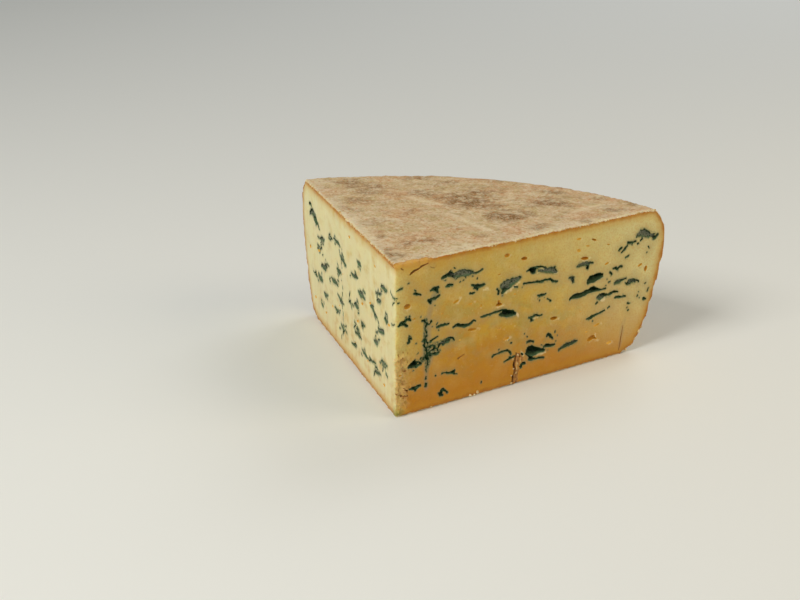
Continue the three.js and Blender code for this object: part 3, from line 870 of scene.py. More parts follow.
SMUDGES = [  # mould that the knife dragged over the paste
    (0.95, [(18.4, 48.8, 2.2), (18.4, 44, 1.6), (18.2, 39, 1.8), (19.2, 33, 3.4), (20, 27, 3.2), (19, 21, 1.0)]),
    (0.95, [(12, 26.6, 1.6), (16, 27.8, 2.2), (21, 30, 4.2), (27.5, 30.4, 1.4)]),
    (0.85, [(20, 34, 2.4), (25, 34.6, 2.6), (30, 35.4, 1.8)]),
    (0.8, [(28, 34.4, 1.4), (33, 35.4, 2.2), (36, 34.6, 1.4)]),
    (0.5, [(23, 61.4, 1.6), (27, 62.4, 1.4)]),
    (0.5, [(156, 64, 1.2), (161, 66, 1.2)]),
    (0.65, [(64.8, 55.6, 1.4), (68, 57, 4.6), (73, 58, 5.4), (79, 59.6, 2.4)]),
    (0.6, [(34, 69.6, 2.4), (40, 69.6, 4.6), (46, 69, 3.4)]),
    (0.6, [(161, 67.4, 2.0), (165, 68.8, 4.6), (170, 67.4, 4.2), (175, 66.2, 2.2)]),
    (0.5, [(95, 60.4, 1.6), (102, 59.4, 3.2)]),
    (0.5, [(118, 58.6, 1.6), (126, 58.6, 2.2)]),
    (0.5, [(97, 20.6, 1.6), (101, 22.2, 2.0)]),
]
HAZES = [  # mould that shows through from below
    (0.7, [(24, 61, 2.0), (21.8, 55.4, 1.4), (20.4, 50, 1.6)]),
    (0.8, [(19.8, 48, 2.0), (19, 34, 3.4), (20, 28, 4.6), (19, 22, 1.2)]),
    (0.6, [(19, 22, 0.8), (18.8, 12, 0.4)]),
    (0.4, [(84, 11, 4), (89, 17, 6), (97, 16, 3)]),
    (0.35, [(160, 33, 7), (168, 37, 8)]),
    (0.3, [(156, 44, 5), (164, 47, 5)]),
    (0.6, [(155, 20, 0.8), (152.4, 5, 1.2)]),
    (0.5, [(18, 77.6, 1.2), (23, 77, 2.4)]),
    (0.35, [(33, 66.5, 3), (43, 66.8, 3)]),
]

# %% Marks on the rind
TOP_STAINS = [  # distance from the tip, share of the way from the right-hand cut to the left, size, darkness
    (126, 0.50, 21, 1.0), (119, 0.42, 12, 0.9), (106, 0.28, 16, 1.0), (142, 0.24, 15, 0.9), (162, 0.29, 10, 0.6),
    (145, 0.49, 13, 0.7), (136, 0.66, 13, 0.65), (146, 0.84, 17, 0.65), (162, 0.88, 14, 0.7), (120, 0.90, 13, 0.5),
    (104, 0.95, 9, 0.35), (173, 0.69, 12, 0.6), (159, 0.61, 11, 0.45), (78, 0.88, 9, 0.6), (44, 0.50, 9, 0.55),
    (37, 0.62, 7, 0.65), (50, 0.87, 4, 0.8), (17, 0.80, 8, 0.8), (26, 0.82, 6, 0.6), (101, 0.07, 9, 0.65),
    (127, 0.03, 7, 0.6), (154, 0.06, 7, 0.6), (175, 0.47, 12, 0.5), (172, 0.07, 6, 0.6), (170, 0.16, 8, 0.35),
    (88, 0.55, 7, 0.3), (63, 0.18, 5, 0.3), (92, 0.70, 8, 0.3),
]
CREASES = [  # pale rubbed folds of the top, as (distance from the tip, share of the way, width)
    [(97, 0.52, 1.4), (86, 0.40, 2.0), (77, 0.22, 1.6)],
    [(52, 0.24, 1.0), (49, 0.13, 1.4), (47, 0.03, 1.0)],
    [(58, 0.30, 0.8), (55, 0.16, 1.2)],
    [(98, 0.99, 1.8), (70, 0.97, 1.6), (48, 0.95, 1.2)],
    [(128, 0.72, 1.2), (116, 0.62, 1.6), (112, 0.55, 1.0)],
    [(150, 0.40, 1.2), (139, 0.37, 1.4), (131, 0.38, 1.0)],
    [(133, 0.12, 1.4), (146, 0.13, 2.0), (158, 0.12, 1.2)],
]
HEEL_STAINS = 34
BASE_STAINS = 22

# %% Helpers to measure the openings
HALO_REACH = 12  # mm, past which an opening changes nothing
SMUDGE_REACH = 0.8  # mm, and as far again as the mould is furry
OPENING_REACH = 7  # mm behind a cut, past its deepest opening
MARK_REACH = 3  # mm behind a cut, past its deepest mark


def beside_cut(points, side, reach):
    """The points within reach of a cut that no other cut is nearer to: which ones, and their (along, up)."""
    local = in_cut(points, CUTS[side])
    _, nearest = depths(points)
    near = np.flatnonzero((local[:, 1] < reach) & (local[:, 1] < nearest + 0.3))
    return near, local[near][:, (0, 2)]


def from_mouths(piece, points):
    """How far each point is, in millimetres, from the nearest place where mould and paste meet."""
    lined = {True: set(), False: set()}
    for polygon in piece.data.polygons:
        lined[piece.data.materials[polygon.material_index] == mould_lining].update(polygon.vertices)
    mouths = sorted(lined[True] & lined[False])
    tree = KDTree(len(mouths))
    for index in mouths:
        tree.insert(points[index], index)
    tree.balance()
    return np.array([tree.find(point)[2] for point in points]) / MM


def measure_openings(piece, points):
    """For every point: gap, smudge, fur, lip and rise, over all mouldy openings of both cuts."""
    mouth = from_mouths(piece, points)
    gap = np.full(len(points), float(HALO_REACH))
    smudge, fur, lip_highlight, rise = np.zeros((4, len(points)))
    for side, openings in (("right", RIGHT_VEINS), ("left", LEFT_VEINS)):
        near, flat = beside_cut(points, side, OPENING_REACH)
        for depth, furry, path in openings:
            found, half, above = from_path(flat, path)
            found = found - RUBBED_WIDER / 2
            closer = found < gap[near]
            rise[near[closer]] = (above / half)[closer]
            below = ramp(-above / half, 0.1, 0.7) * (found < 1.5)  # whether a point is on the lower side
            gap[near] = np.minimum(gap[near], found)
            fur[near] = np.maximum(fur[near], furry * ramp(found, 2, -0.6 * half))
            reach = SMUDGE_REACH * (1 + furry)
            smudge[near] = np.maximum(smudge[near], ramp(mouth[near], reach, 0) * (found < reach))
            # The lower edge of an opening, next to the mould, gets a painted highlight.
            lip_highlight[near] = np.maximum(lip_highlight[near], ramp(mouth[near], 0.6, 0) * below * 0.6 * min(1, depth / 2.4))
    return np.maximum(gap, 0), smudge, fur, lip_highlight, np.clip(rise, -1.5, 1.5)


def measure_rim_highlights(points):
    """Painted highlights on the lower rims of the gas holes, where the thin edge of paste lets light through."""
    rims = np.zeros(len(points))
    for side in CUTS:
        near, flat = beside_cut(points, side, MARK_REACH)
        for at, along, up, half_length, half_height, depth, lean in holes:
            if at != side:
                continue
            turned = (flat - (along, up)) @ np.array(Matrix.Rotation(math.radians(lean), 2))
            out = np.hypot(turned[:, 0] * half_height / half_length, turned[:, 1]) - half_height
            lower = ramp(turned[:, 0] / half_length - turned[:, 1] / half_height, -0.4, 0.8)
            ring = ramp(np.abs(out - 0.3), 0.7, 0) * lower * min(1, depth)
            rims[near] = np.maximum(rims[near], ring)
    return rims


# %% Helpers to paint marks and to measure the rind
def strokes(points, side, marks, soft):
    """How strongly marks are painted on a cut: fully within their thickness, fading out over soft millimetres."""
    near, flat = beside_cut(points, side, MARK_REACH)
    amount = np.zeros(len(points))
    for strength, path in marks:
        found, _, _ = from_path(flat, path)
        amount[near] = np.maximum(amount[near], strength * ramp(found, soft, 0))
    return amount


def across_top(distance, share):
    """The place on the sector at a distance from the tip and a share of the way from the right-hand cut, in mm."""
    direction = (math.pi - SECTOR) / 2 + share * SECTOR
    return TIP / MM + Vector((math.cos(direction), math.sin(direction), 0)) * distance


def measure_creases(points):
    """How strongly each point of the top lies on a rubbed fold."""
    amount = np.zeros(len(points))
    for crease in CREASES:
        path = [(*across_top(distance, share).xy, width) for distance, share, width in crease]
        found, _, _ = from_path(points[:, :2] / MM, path)
        amount = np.maximum(amount, ramp(found, 1.8, 0))
    return amount * ramp(points[:, 2], WHEEL_HEIGHT - 3 * MM, WHEEL_HEIGHT - 1 * MM)


def measure_stains(points):
    """How stained the rind is: the listed stains of the top, and seeded ones on the heel and the base."""
    stain_draw = random.Random(5)
    stains = [(distance, share, WHEEL_HEIGHT / MM, size, dark) for distance, share, size, dark in TOP_STAINS]
    for _ in range(HEEL_STAINS):
        stains.append((
            BULGE_RADIUS / MM - 4, stain_draw.uniform(0, 1), stain_draw.uniform(4, 76),
            stain_draw.uniform(7, 17), stain_draw.uniform(0.4, 0.9),
        ))
    for _ in range(BASE_STAINS):
        stains.append((
            160 * math.sqrt(stain_draw.uniform(0.02, 1)), stain_draw.uniform(0, 1), 0,
            stain_draw.uniform(7, 19), stain_draw.uniform(0.4, 0.9),
        ))
    amount = np.zeros(len(points))
    for distance, share, height, size, dark in stains:
        centre = np.array(across_top(distance, share) + Vector((0, 0, height)))
        away = np.linalg.norm(points / MM - centre, axis=1)
        amount = np.maximum(amount, dark * ramp(away, 1.15 * size, 0.15 * size))
    return amount


def store(piece, name, values):
    """Keeps one number for each vertex on the mesh, where a material can read it by name."""
    attribute = piece.data.attributes.new(name, "FLOAT", "POINT")
    attribute.data.foreach_set("value", np.ascontiguousarray(values, dtype=np.float32))
    print(f"{name}: {values.min():.2f} to {values.max():.2f}, mean {values.mean():.2f}")


# %% Measure the surface
spots = places(wheel)
skin_mm, cut_mm = depths(spots)
gap, smudge, fur, lip_highlight, rise = measure_openings(wheel, spots)
smudge = np.maximum(smudge, strokes(spots, "right", SMUDGES, soft=1.2))
# Painted highlights: lower edges of openings, rims of gas holes and the listed strokes.
lip_highlight = np.maximum.reduce((lip_highlight, measure_rim_highlights(spots), strokes(spots, "right", PAINTED_LIP_HIGHLIGHTS, soft=0.4)))
behind_right, behind_left = (in_cut(spots, CUTS[side])[:, 1] for side in ("right", "left"))
for name, values in {
    "skin": skin_mm, "cut": cut_mm, "gap": gap, "smudge": smudge, "fur": fur, "lip_highlight": lip_highlight, "rise": rise,
    "haze": strokes(spots, "right", HAZES, soft=2.5), "lit_left_cut": ramp(behind_right - behind_left, -1.5, 1.5),
    "bare": worn_rim(spots), "torn": torn_tip(spots), "stain": measure_stains(spots),
    "crease": measure_creases(spots),
}.items():
    store(wheel, name, values)
select(wheel)
bpy.ops.object.shade_smooth_by_angle(angle=math.radians(42))

# %% [markdown]
# ## Helpers for materials
#
# Colours are picked as sRGB hex values, as a colour picker shows them, but a shader works in linear light, so one
# function turns them. The next adds a node, with its settings, values and links. The third covers a colour with one
# tone after another, as a painter glazes. Each tone shows only where a pattern or a measured fact lets it.


# %% Helpers for materials
def linear(hex_colour):
    """An sRGB colour such as #D8B66C as linear red, green, blue and alpha."""
    parts = [int(hex_colour[i:i + 2], 16) / 255 for i in (1, 3, 5)]
    return (*(p / 12.92 if p <= 0.04045 else ((p + 0.055) / 1.055) ** 2.4 for p in parts), 1)


def add(tree, kind, sockets=None, **settings):
    """Adds a node. Each entry of sockets is an input with its value, or with the output that it is linked to."""
    made = tree.nodes.new(kind)
    for name, value in settings.items():
        setattr(made, name, value)
    for key, value in (sockets or {}).items():
        if isinstance(value, bpy.types.NodeSocket):
            tree.links.new(value, made.inputs[key])
        else:
            made.inputs[key].default_value = value
    return made


UNDER, OVER, MIXED = 6, 7, 2  # a Mix node's two colours and its result
FIRST, SECOND = 2, 3  # its two plain numbers


def glaze(tree, colour, tones, values):
    """Covers a colour with tones. Each has the name of the value that it follows, where it starts to show, where it
    shows most, the share of the colour that it covers there, and the tone itself."""
    for name, start, full, most, tone in tones:
        covered = add(
            tree, "ShaderNodeMapRange",
            {"Value": values[name], "From Min": start, "From Max": full, "To Min": 0, "To Max": most},
        ).outputs["Result"]
        colour = add(
            tree, "ShaderNodeMix", {0: covered, UNDER: colour, OVER: linear(tone)}, data_type="RGBA"
        ).outputs[MIXED]
    return colour


def start_material(material):
    """The node tree of a material, its shader, and the place of each point on the object."""
    material.use_nodes = True
    tree = material.node_tree
    return tree, tree.nodes["Principled BSDF"], add(tree, "ShaderNodeTexCoord").outputs["Object"]


def let_light_in(shader):
    """Fat paste lets light in by a few millimetres, red light deepest."""
    shader.inputs["Subsurface Weight"].default_value = 0.25
    shader.inputs["Subsurface Radius"].default_value = (1, 0.55, 0.2)
    shader.inputs["Subsurface Scale"].default_value = 1.8 * MM


# %% [markdown]
# ## Patterns on the paste and the rind
#
# Noise draws the patterns, each at the real size of what it stands for. A measured fact has smooth borders, but on
# a cheese no border is smooth, so a pattern is added to it, or it is multiplied by one, which frays it. The facts
# skin, cut and gap are in millimetres. The height and the distances from the tip and its upright axis, which are
# read from the place of a point, are in metres.

# %% Patterns and frayed facts
MEASURED = ("skin", "cut", "gap", "smudge", "lip_highlight", "haze", "lit_left_cut", "bare", "torn", "stain", "crease")
PATTERNS = {  # the size in millimetres of what is drawn, its detail, and how it is stretched
    "broad": (42, 3, (1, 1, 1)), "cloud": (14, 5, (1, 1, 1.6)), "dusk": (10, 4, (1, 1, 1.5)),
    "gold": (17, 4, (1, 1, 1.3)), "curd": (9, 3, (1, 1, 1)), "fleck": (1.7, 1, (1, 1, 1)),
    "grain": (0.9, 2, (1, 1, 1)), "drag": (3.4, 3, (1, 1, 0.1)), "lumps": (3.4, 3, (1, 1, 1)),
    "fray": (1.1, 3, (1, 1, 1)), "mottle": (9, 4, (1, 1, 1)), "patch": (6, 4, (1, 1.2, 1)),
    "tint": (19, 4, (1, 1, 1)), "brush": (3.6, 3, (1, 0.8, 1)), "ruddy": (1.8, 3, (1, 1, 1)),
    "dust": (1.2, 3, (1, 1, 1)), "spot": (1.1, 2, (1, 1, 1)),
}
FRAYED = {  # a fact, the pattern that frays it, the pattern's weight, and how they are joined
    "frayed edge": ("skin", "brush", -3, "ADD"),
    "frayed crust": ("skin", "fray", -1.2, "ADD"),
    "frayed fringe": ("cut", "fray", -2.5, "ADD"),
    "frayed margin": ("cut", "tint", 30, "ADD"),
    "frayed stain": ("stain", "mottle", 1.9, "ADD"),
    "frayed smudge": ("smudge", "fray", 2, "MULTIPLY"),
    "frayed lip": ("lip_highlight", "fray", 2, "MULTIPLY"),
    "frayed haze": ("haze", "patch", 2, "MULTIPLY"),
    "frayed bare": ("bare", "brush", 2, "MULTIPLY"),
    # The painted light of the left-hand cut, frayed.
    "frayed fresh": ("lit_left_cut", "dusk", 2, "MULTIPLY"),
    "frayed drag": ("lit_left_cut", "drag", 1, "MULTIPLY"),
    # Painted shade in the clefts of the torn tip, and painted highlights on its pale grains.
    "torn painted shade": ("torn", "lumps", 2, "MULTIPLY"),
    "torn pale painted highlight": ("torn", "ruddy", 2, "MULTIPLY"),
    # This marks where the painted shade and warm painted reflection near the base lie.
    "low": ("height", "from tip", 0.05, "ADD"),
}

# %% [markdown]
# ## The tones of the paste
#
# The paste is fat and moist. It is golden where it is old, paler upwards and towards the heel, greyer round the
# mould, and darker and more orange under the skin, where it dried. Near the base it is darker and more orange too,
# which is painted shade and a warm painted reflection. Painted light makes the thin tip and the left-hand cut paler
# and puts highlights on the lower edges of openings and on the torn tip's grains, whose clefts get painted shade.

# %% Tones of the paste
PASTE_TONE = "#D3AD42"
WORN_OFF = (0.35, 0.75)  # where a bare place starts to show, and where it shows most
PASTE_TONES = (
    ("broad", 0.44, 0.60, 0.9, "#CD982D"),  # warm patches
    ("cloud", 0.49, 0.60, 0.75, "#BBA350"),  # olive ones, over mould that lies deeper
    ("dusk", 0.50, 0.62, 0.32, "#BC9668"),  # dusky ones
    ("gold", 0.50, 0.62, 0.5, "#DDB540"),  # golden ones
    ("height", 0.035, 0.070, 0.6, "#DBC068"),  # paler upwards
    ("from tip", 0.095, 0.175, 0.75, "#E8E0A4"),  # and towards the heel
    ("curd", 0.50, 0.68, 0.32, "#E9D38C"),  # lumps of curd
    ("fleck", 0.68, 0.76, 0.45, "#E9D38C"),  # pale flecks
    ("gap", 5, 0.3, 0.45, "#BCA66C"),  # a greyer halo round every opening
    ("low", 0.038, 0.004, 0.92, "#CC8410"),  # painted shade and a warm painted reflection: darker and more orange near the base
    ("from axis", 0.009, 0.001, 0.6, "#E8DC8C"),  # painted light: the thin tip, which light shines through
    ("grain", 0.45, 0.72, 0.34, "#CC8410"),  # fine grain
    ("frayed haze", 0.2, 0.9, 0.6, "#9C8F78"),  # mould just below the surface
    ("frayed fresh", 0.3, 1.0, 0.85, "#EDE3AE"),  # painted light: the paler left-hand cut, which faces the key light
    ("frayed drag", 0.5, 0.72, 0.35, "#F4EDC6"),  # and the knife's streaks on it
    ("skin", 6.5, 0.8, 0.8, "#CF9A30"),  # paste that dried under the skin
    ("frayed edge", 1.5, -0.8, 0.92, "#BC741A"),  # more so at its edge
    ("frayed crust", 0.3, -0.7, 0.4, "#9C5418"),  # the line where it meets the rind
    ("frayed bare", *WORN_OFF, 0.85, "#D6A74E"),  # paste that the worn rind laid bare
    ("torn painted shade", 1.05, 1.22, 0.65, "#A06A30"),  # painted shade in the clefts of the torn tip
    ("torn pale painted highlight", 0.6, 1.0, 0.6, "#E2BA76"),  # and its pale grains, with painted highlights
    ("from tip", 0.007, 0.002, 0.6, "#7F9A4C"),  # green mould on the foot of the tip
    ("frayed smudge", 0.2, 0.85, 0.65, "#888A60"),  # mould that the knife rubbed out
    ("frayed smudge", 0.68, 1.05, 0.85, "#3C5638"),  # thickest beside an opening
    ("frayed lip", 0.3, 1.0, 0.75, "#F0E1B0"),  # painted highlights on thin lips of paste, lit from behind
)

# %% [markdown]
# ## The tones of the rind
#
# The rind is matt and dusty: brown mottles on a khaki beige, brushed with a pale bloom. Where it was cut it
# crumbled to a pale fringe.

# %% Tones of the rind
RIND_TONE = "#CBAF86"
RIND_TONES = (
    ("upward", 0.85, 0.4, 0.8, "#BE9A66"),  # the heel is browner than the top
    ("patch", 0.46, 0.66, 0.6, "#AC9353"),  # olive patches
    ("tint", 0.48, 0.62, 0.65, "#C9986C"),  # rosy ones
    ("frayed margin", 26, 14, 0.5, "#E3D3B2"),  # paler towards the cuts
    ("frayed stain", 1.0, 1.8, 1.0, "#815C2E"),  # damp stains
    ("brush", 0.48, 0.64, 0.5, "#E3D3B2"),  # bloom, brushed over them
    ("dust", 0.46, 0.60, 0.38, "#E3D3B2"),  # dust
    ("spot", 0.60, 0.70, 0.22, "#70553C"),  # dark pores
    ("ruddy", 0.55, 0.66, 0.6, "#B87238"),  # ruddy specks
    ("crease", 0.0, 1.0, 0.45, "#EADCB8"),  # rubbed folds
    ("frayed fringe", 0.6, -0.9, 0.8, "#EADCB8"),  # the crumbly edge at a cut
)

# %% [markdown]
# ## One material for paste and rind
#
# The paste is semi-matt, and light goes into it. The rind has no gloss. One material holds both, and the distances
# decide which one shows, so that the border between them is as ragged as the real crust.


# %% Paste and rind material
def collect_values(tree, place):
    """The outputs of all nodes that a tone may follow, by name."""
    values = {
        "height": add(tree, "ShaderNodeSeparateXYZ", {0: place}).outputs["Z"],
        "from tip": add(tree, "ShaderNodeVectorMath", {0: place, 1: TIP}, operation="DISTANCE").outputs["Value"],
    }
    flat = add(tree, "ShaderNodeMapping", {"Vector": place, "Scale": (1, 1, 0)}).outputs["Vector"]
    values["from axis"] = add(tree, "ShaderNodeVectorMath", {0: flat, 1: TIP}, operation="DISTANCE").outputs["Value"]
    facing = add(tree, "ShaderNodeNewGeometry").outputs["Normal"]
    values["upward"] = add(tree, "ShaderNodeSeparateXYZ", {0: facing}).outputs["Z"]
    for name in MEASURED:
        values[name] = add(tree, "ShaderNodeAttribute", attribute_name=name).outputs["Fac"]
    for name, (size, detail, stretch) in PATTERNS.items():
        stretched = add(tree, "ShaderNodeMapping", {"Vector": place, "Scale": stretch}).outputs["Vector"]
        values[name] = add(
            tree, "ShaderNodeTexNoise", {"Vector": stretched, "Scale": 1 / (size * MM), "Detail": detail}
        ).outputs["Fac"]
    for name, (fact, pattern, weight, operation) in FRAYED.items():
        weighted = add(tree, "ShaderNodeMath", {0: values[pattern], 1: weight}, operation="MULTIPLY").outputs[0]
        values[name] = add(tree, "ShaderNodeMath", {0: values[fact], 1: weighted}, operation=operation).outputs[0]
    return values


def where_rind_shows(tree, values):
    """The output that is 1 on the rind and 0 on the paste. The rind shows where the skin is nearer than the cut,
    reaches a ragged half millimetre over the edge, and is missing where it was worn off."""
    reach = add(tree, "ShaderNodeMath", {0: values["cut"], 1: values["skin"]}, operation="SUBTRACT").outputs[0]
    reach = add(tree, "ShaderNodeMath", {0: reach, 1: values["fray"]}, operation="ADD").outputs[0]
    start, full = WORN_OFF
    worn = add(
        tree, "ShaderNodeMapRange",
        {"Value": values["frayed bare"], "From Min": start, "From Max": full, "To Min": 0, "To Max": 6.8},
    ).outputs["Result"]
    reach = add(tree, "ShaderNodeMath", {0: reach, 1: worn}, operation="SUBTRACT").outputs[0]
    return add(tree, "ShaderNodeMapRange", {"Value": reach, "From Min": 0.05, "From Max": 0.35}).outputs["Result"]


def shade_paste_and_rind(material):
    tree, shader, place = start_material(material)
    values = collect_values(tree, place)
    rind = where_rind_shows(tree, values)
    paste_colour = glaze(tree, linear(PASTE_TONE), PASTE_TONES, values)
    rind_colour = glaze(tree, linear(RIND_TONE), RIND_TONES, values)
    base_colour = add(
        tree, "ShaderNodeMix", {0: rind, UNDER: paste_colour, OVER: rind_colour}, data_type="RGBA"
    ).outputs[MIXED]
    roughness = add(tree, "ShaderNodeMix", {0: rind, FIRST: 0.48, SECOND: 0.9}).outputs[0]

    # Low relief: grain and knife drag on the paste, dust and pores on the rind, and lumps of curd below both.
    grain = add(tree, "ShaderNodeMath", {0: values["grain"], 1: values["drag"]}, operation="ADD").outputs[0]
    dust = add(tree, "ShaderNodeMath", {0: values["dust"], 1: values["spot"]}, operation="ADD").outputs[0]
    relief = add(tree, "ShaderNodeMix", {0: rind, FIRST: grain, SECOND: dust}).outputs[0]
    depth = add(tree, "ShaderNodeMix", {0: rind, FIRST: 0.12, SECOND: 0.4}).outputs[0]
    bump = add(tree, "ShaderNodeBump", {"Height": relief, "Strength": depth, "Distance": 0.6 * MM}).outputs["Normal"]
    bump = add(
        tree, "ShaderNodeBump",
        {"Height": values["curd"], "Strength": 0.75, "Distance": 1.5 * MM, "Normal": bump},
    ).outputs["Normal"]
    tree.links.new(base_colour, shader.inputs["Base Color"])
    tree.links.new(roughness, shader.inputs["Roughness"])
    tree.links.new(bump, shader.inputs["Normal"])
    shader.inputs["Specular IOR Level"].default_value = 0.25
    let_light_in(shader)


shade_paste_and_rind(paste_and_rind)
print("paste and rind:", len(paste_and_rind.node_tree.nodes), "nodes")

# %% [markdown]
# ## The mould in the openings
#
# Blue mould is a velvet of spores: dark blue-green, and grey with pale fur where an opening is shallow and had more
# air. It has no gloss at all, and grains of paste stay stuck in it. Painted shade makes it near black deep in an
# opening and under the roof that hangs over, and painted light makes the floor paler.

# %% Tones of the mould
MOULD_DARK = "#163018"
MOULD_TONES = (
    ("velvet", 0.44, 0.60, 0.85, "#4A6846"),  # green spores
    ("deep", 0.8, 2.6, 0.8, "#041806"),  # painted shade deep in an opening
    ("tufted", 0.75, 1.25, 0.9, "#525A4C"),  # grey fur
    ("pale", 1.55, 2.00, 0.6, "#94957F"),  # its pale tips
    ("velvet", 0.48, 0.36, 0.7, MOULD_DARK),  # gaps in it
    ("higher", 0.2, -0.4, 0.7, "#6E8A64"),  # painted light on the floor, which light falls on
    ("higher", 0.9, 1.3, 0.85, MOULD_DARK),  # painted shade under the roof, which hangs over
    ("mouth", 0.90, 1.30, 0.42, "#D2CB9C"),  # grains of paste at the mouth
)


# %% Mould material
def shade_mould(material):
    tree, shader, place = start_material(material)
    values = {}
    for name, fact in (("furry", "fur"), ("deep", "cut"), ("rise", "rise")):
        values[name] = add(tree, "ShaderNodeAttribute", attribute_name=fact).outputs["Fac"]
    for name, size in (("velvet", 0.8), ("tuft", 2.2), ("grain", 1.0)):
        values[name] = add(
            tree, "ShaderNodeTexNoise", {"Vector": place, "Scale": 1 / (size * MM), "Detail": 3}
        ).outputs["Fac"]
    values["inside"] = add(
        tree, "ShaderNodeMapRange",
        {"Value": values["deep"], "From Min": 0.1, "From Max": 0.6, "To Min": 0.55, "To Max": 1},
    ).outputs["Result"]
    for name, first, second, operation in (
        ("fur in tufts", "furry", "tuft", "ADD"), ("tufted", "fur in tufts", "inside", "MULTIPLY"),
        ("pale", "tufted", "velvet", "ADD"), ("coarse", "grain", "grain", "ADD"),
        ("mouth", "coarse", "deep", "SUBTRACT"), ("higher", "rise", "tuft", "ADD"),
    ):
        values[name] = add(
            tree, "ShaderNodeMath", {0: values[first], 1: values[second]}, operation=operation
        ).outputs[0]
    base_colour = glaze(tree, linear(MOULD_DARK), MOULD_TONES, values)
    bump = add(
        tree, "ShaderNodeBump", {"Height": values["velvet"], "Strength": 0.7, "Distance": 0.4 * MM}
    ).outputs["Normal"]
    tree.links.new(base_colour, shader.inputs["Base Color"])
    tree.links.new(bump, shader.inputs["Normal"])
    shader.inputs["Roughness"].default_value = 0.95
    shader.inputs["Specular IOR Level"].default_value = 0.05


shade_mould(mould_lining)
print("mould:", len(mould_lining.node_tree.nodes), "nodes")

# %% [markdown]
# ## The bare walls of holes and cracks
#
# A gas hole has a smooth, moist wall, more orange than the cut since it dried for months. A crack shows torn paste.
# Both are darker with depth and under an overhang, which is painted shade.


# %% Materials of holes and cracks
def shade_bare_wall(material, mouth_tone, painted_shade_tone, full_depth, roughness):
    tree, shader, place = start_material(material)
    deep = add(tree, "ShaderNodeAttribute", attribute_name="cut").outputs["Fac"]
    grain = add(tree, "ShaderNodeTexNoise", {"Vector": place, "Scale": 1 / (0.9 * MM), "Detail": 3}).outputs["Fac"]
    facing = add(tree, "ShaderNodeNewGeometry").outputs["Normal"]
    upward = add(tree, "ShaderNodeSeparateXYZ", {0: facing}).outputs["Z"]
    # Painted shade: walls that face down, and deeper places, take the darker tone.
    shaded = add(
        tree, "ShaderNodeMapRange", {"Value": upward, "From Min": 0.7, "From Max": -0.3, "To Min": 0.5, "To Max": 1.3}
    ).outputs["Result"]
    uneven = add(tree, "ShaderNodeMath", {0: grain, 1: deep}, operation="MULTIPLY").outputs[0]
    dark = add(tree, "ShaderNodeMath", {0: uneven, 1: shaded}, operation="MULTIPLY").outputs[0]
    tones = [("dark", 0.1, full_depth / 2, 1, painted_shade_tone)]
    base_colour = glaze(tree, linear(mouth_tone), tones, {"dark": dark})
    bump = add(
        tree, "ShaderNodeBump", {"Height": grain, "Strength": roughness, "Distance": 0.3 * MM}
    ).outputs["Normal"]
    tree.links.new(base_colour, shader.inputs["Base Color"])
    tree.links.new(bump, shader.inputs["Normal"])
    shader.inputs["Roughness"].default_value = roughness
    let_light_in(shader)


shade_bare_wall(hole_lining, mouth_tone="#EDBC42", painted_shade_tone="#B87008", full_depth=2.4, roughness=0.4)
shade_bare_wall(crack_lining, mouth_tone="#CC9450", painted_shade_tone="#5A3006", full_depth=1.8, roughness=0.8)
print("bare walls:", len(hole_lining.node_tree.nodes) + len(crack_lining.node_tree.nodes), "nodes")

# %% [markdown]
# ## Crumbs
#
# The knife left crumbs along the lower edge, on the heel's foot, in the crack, at the torn tip and above all on the
# crumbly rim of the rind. A crumb is an icosphere made lumpy. Each copy is turned and squeezed by a seeded draw and
# set on the nearest point of the cheese, half sunk. They are one joined piece.

# %% Crumbs
RIM_CRUMBS = 220  # on each cut's top edge
FOOT_CRUMBS = 18  # on each cut's lower edge
crumb_draw = random.Random(11)
PLACED_CRUMBS = [  # along, up and size at the right-hand cut, in millimetres
    (47, 0.8, 1.7), (52, 1.6, 2.0), (50, 0.6, 1.1), (22, 0.6, 1.0), (78.2, 6.2, 1.3), (78.9, 11.4, 1.5),
    (74.8, 1.2, 1.6), (75.4, 14.8, 1.1), (79, 16.4, 1.2), (74.6, 5.6, 0.9), (76.4, 9.2, 1.0),
    (167, 10.6, 1.7), (169, 12.4, 1.2), (158, 1.2, 1.6), (164.4, 6.2, 1.3),
]
crumb_spots = [("right", *spot) for spot in PLACED_CRUMBS]
for side, nearest in (("right", 32), ("left", 4)):
    for _ in range(RIM_CRUMBS):
        crumb_spots.append((
            side, crumb_draw.uniform(nearest, 175), WHEEL_HEIGHT / MM - abs(crumb_draw.gauss(0, 0.4)),
            0.4 + min(0.8, crumb_draw.expovariate(4.5)),
        ))
    for _ in range(FOOT_CRUMBS):
        crumb_spots.append((side, crumb_draw.uniform(4, 150), 0.4, crumb_draw.uniform(0.4, 1.0)))

bpy.ops.object.select_all(action="DESELECT")
bpy.ops.mesh.primitive_ico_sphere_add(subdivisions=2, radius=0.5 * MM)
grain = bpy.context.object
apply_modifier(grain, "DISPLACE", texture=cloud("crumb", 0.5 * MM), strength=0.5 * MM)
crumbs = []
for side, along, up, size in crumb_spots:
    _, spot, _, _ = wheel.closest_point_on_mesh(CUTS[side] @ Vector((along * MM, 0, up * MM)))
    spot.z = max(spot.z, size * 0.6 * MM)
    crumb = grain.copy()
    crumb.data = grain.data.copy()
    bpy.context.collection.objects.link(crumb)
    squeeze = Matrix.Diagonal([size * crumb_draw.uniform(0.7, 1.3) for _ in range(3)] + [1])
    axis = Vector([crumb_draw.uniform(-1, 1) for _ in range(3)])
    spin = Matrix.Rotation(crumb_draw.uniform(0, 2 * math.pi), 4, axis)
    crumb.data.transform(Matrix.Translation(spot) @ spin @ squeeze)
    crumbs.append(crumb)
bpy.data.objects.remove(grain)
select(*crumbs)
bpy.ops.object.join()
crumb_piece = bpy.context.object
crumb_piece.name = "cheese_crumbs"
bpy.ops.object.shade_smooth()
print(len(crumb_spots), "crumbs,", triangles(crumb_piece), "triangles")

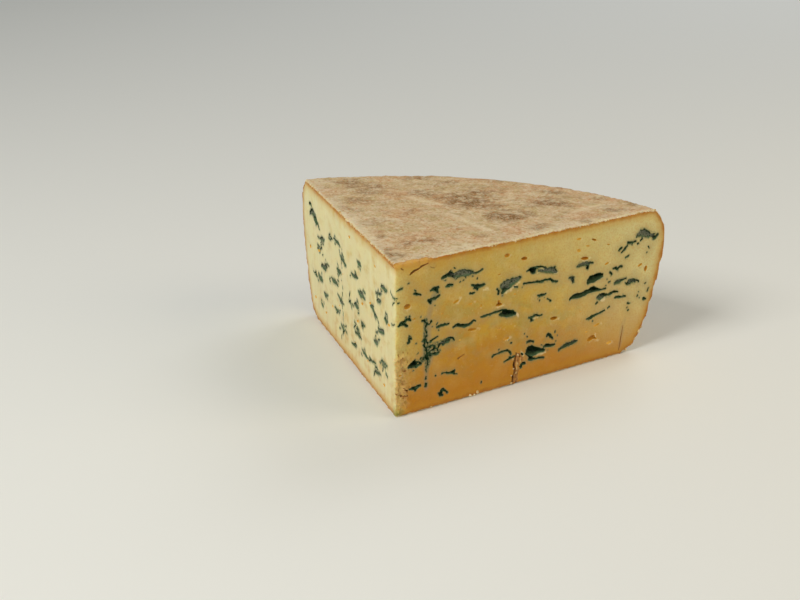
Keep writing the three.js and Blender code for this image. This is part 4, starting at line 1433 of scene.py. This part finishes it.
# %% [markdown]
# ## The crumbs' material
#
# A crumb is drier than the paste that it came from, so it is paler and matt.

# %% Crumb material
CRUMB_TONE = "#F0E0B4"
CRUMB_TONES = [("varied", 0.4, 0.62, 1, "#CDA660")]  # some are tan

crumb_paste = bpy.data.materials.new("Dry crumbs of paste and rind")


def shade_crumbs(material):
    tree, shader, place = start_material(material)
    varied = add(tree, "ShaderNodeTexNoise", {"Vector": place, "Scale": 1 / (4 * MM), "Detail": 4}).outputs["Fac"]
    base_colour = glaze(tree, linear(CRUMB_TONE), CRUMB_TONES, {"varied": varied})
    tree.links.new(base_colour, shader.inputs["Base Color"])
    shader.inputs["Roughness"].default_value = 0.85


shade_crumbs(crumb_paste)
crumb_piece.data.materials.append(crumb_paste)
print("crumbs:", len(crumb_paste.node_tree.nodes), "nodes")

# %% [markdown]
# ## Fix the pieces to the frame
#
# The wedge stands in for the imported solid. It and its crumbs ride on the one body of the part.

# %% Ride and replace
for piece in (wheel, crumb_piece):
    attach(piece, "root")
    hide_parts("cheese_wedge")

# %% [markdown]
# ## Floor and light
#
# A plain pale floor and soft light show the cheese without distracting. The large key light stands to the left, so
# the left-hand cut is bright, and the right-hand cut gets the softer, warmer light of a fill.

# %% Floor and light
FLOOR_TONE = "#EDEEEC"

bpy.ops.object.select_all(action="DESELECT")
bpy.ops.mesh.primitive_plane_add(size=8)
floor = bpy.context.object
floor.name = "floor"
card = bpy.data.materials.new("Matt card")
card.use_nodes = True
card.node_tree.nodes["Principled BSDF"].inputs["Base Color"].default_value = linear(FLOOR_TONE)
card.node_tree.nodes["Principled BSDF"].inputs["Roughness"].default_value = 0.9
floor.data.materials.append(card)

middle = Vector((0, 0, WHEEL_HEIGHT / 2))
for name, place, size, power, tone in (
    ("key", (-0.60, -1.10, 1.15), 0.7, 16, "#FFFCF4"),
    ("fill", (1.1, 0.1, 0.75), 0.8, 4.6, "#FFEBC4"),
    ("back", (0.3, 2.2, 1.6), 1.2, 14, "#FFFFFF"),
):
    bpy.ops.object.light_add(type="AREA", location=place)
    lamp = bpy.context.object
    lamp.name = name
    lamp.data.size = size
    lamp.data.energy = power
    lamp.data.color = linear(tone)[:3]
    lamp.rotation_euler = (middle - lamp.location).to_track_quat("-Z", "Y").to_euler()

world = bpy.data.worlds.new("studio")
world.use_nodes = True
world.node_tree.nodes["Background"].inputs["Color"].default_value = linear("#F1F4EF")
world.node_tree.nodes["Background"].inputs["Strength"].default_value = 0.26
bpy.context.scene.world = world
bpy.context.scene.view_settings.view_transform = "Standard"
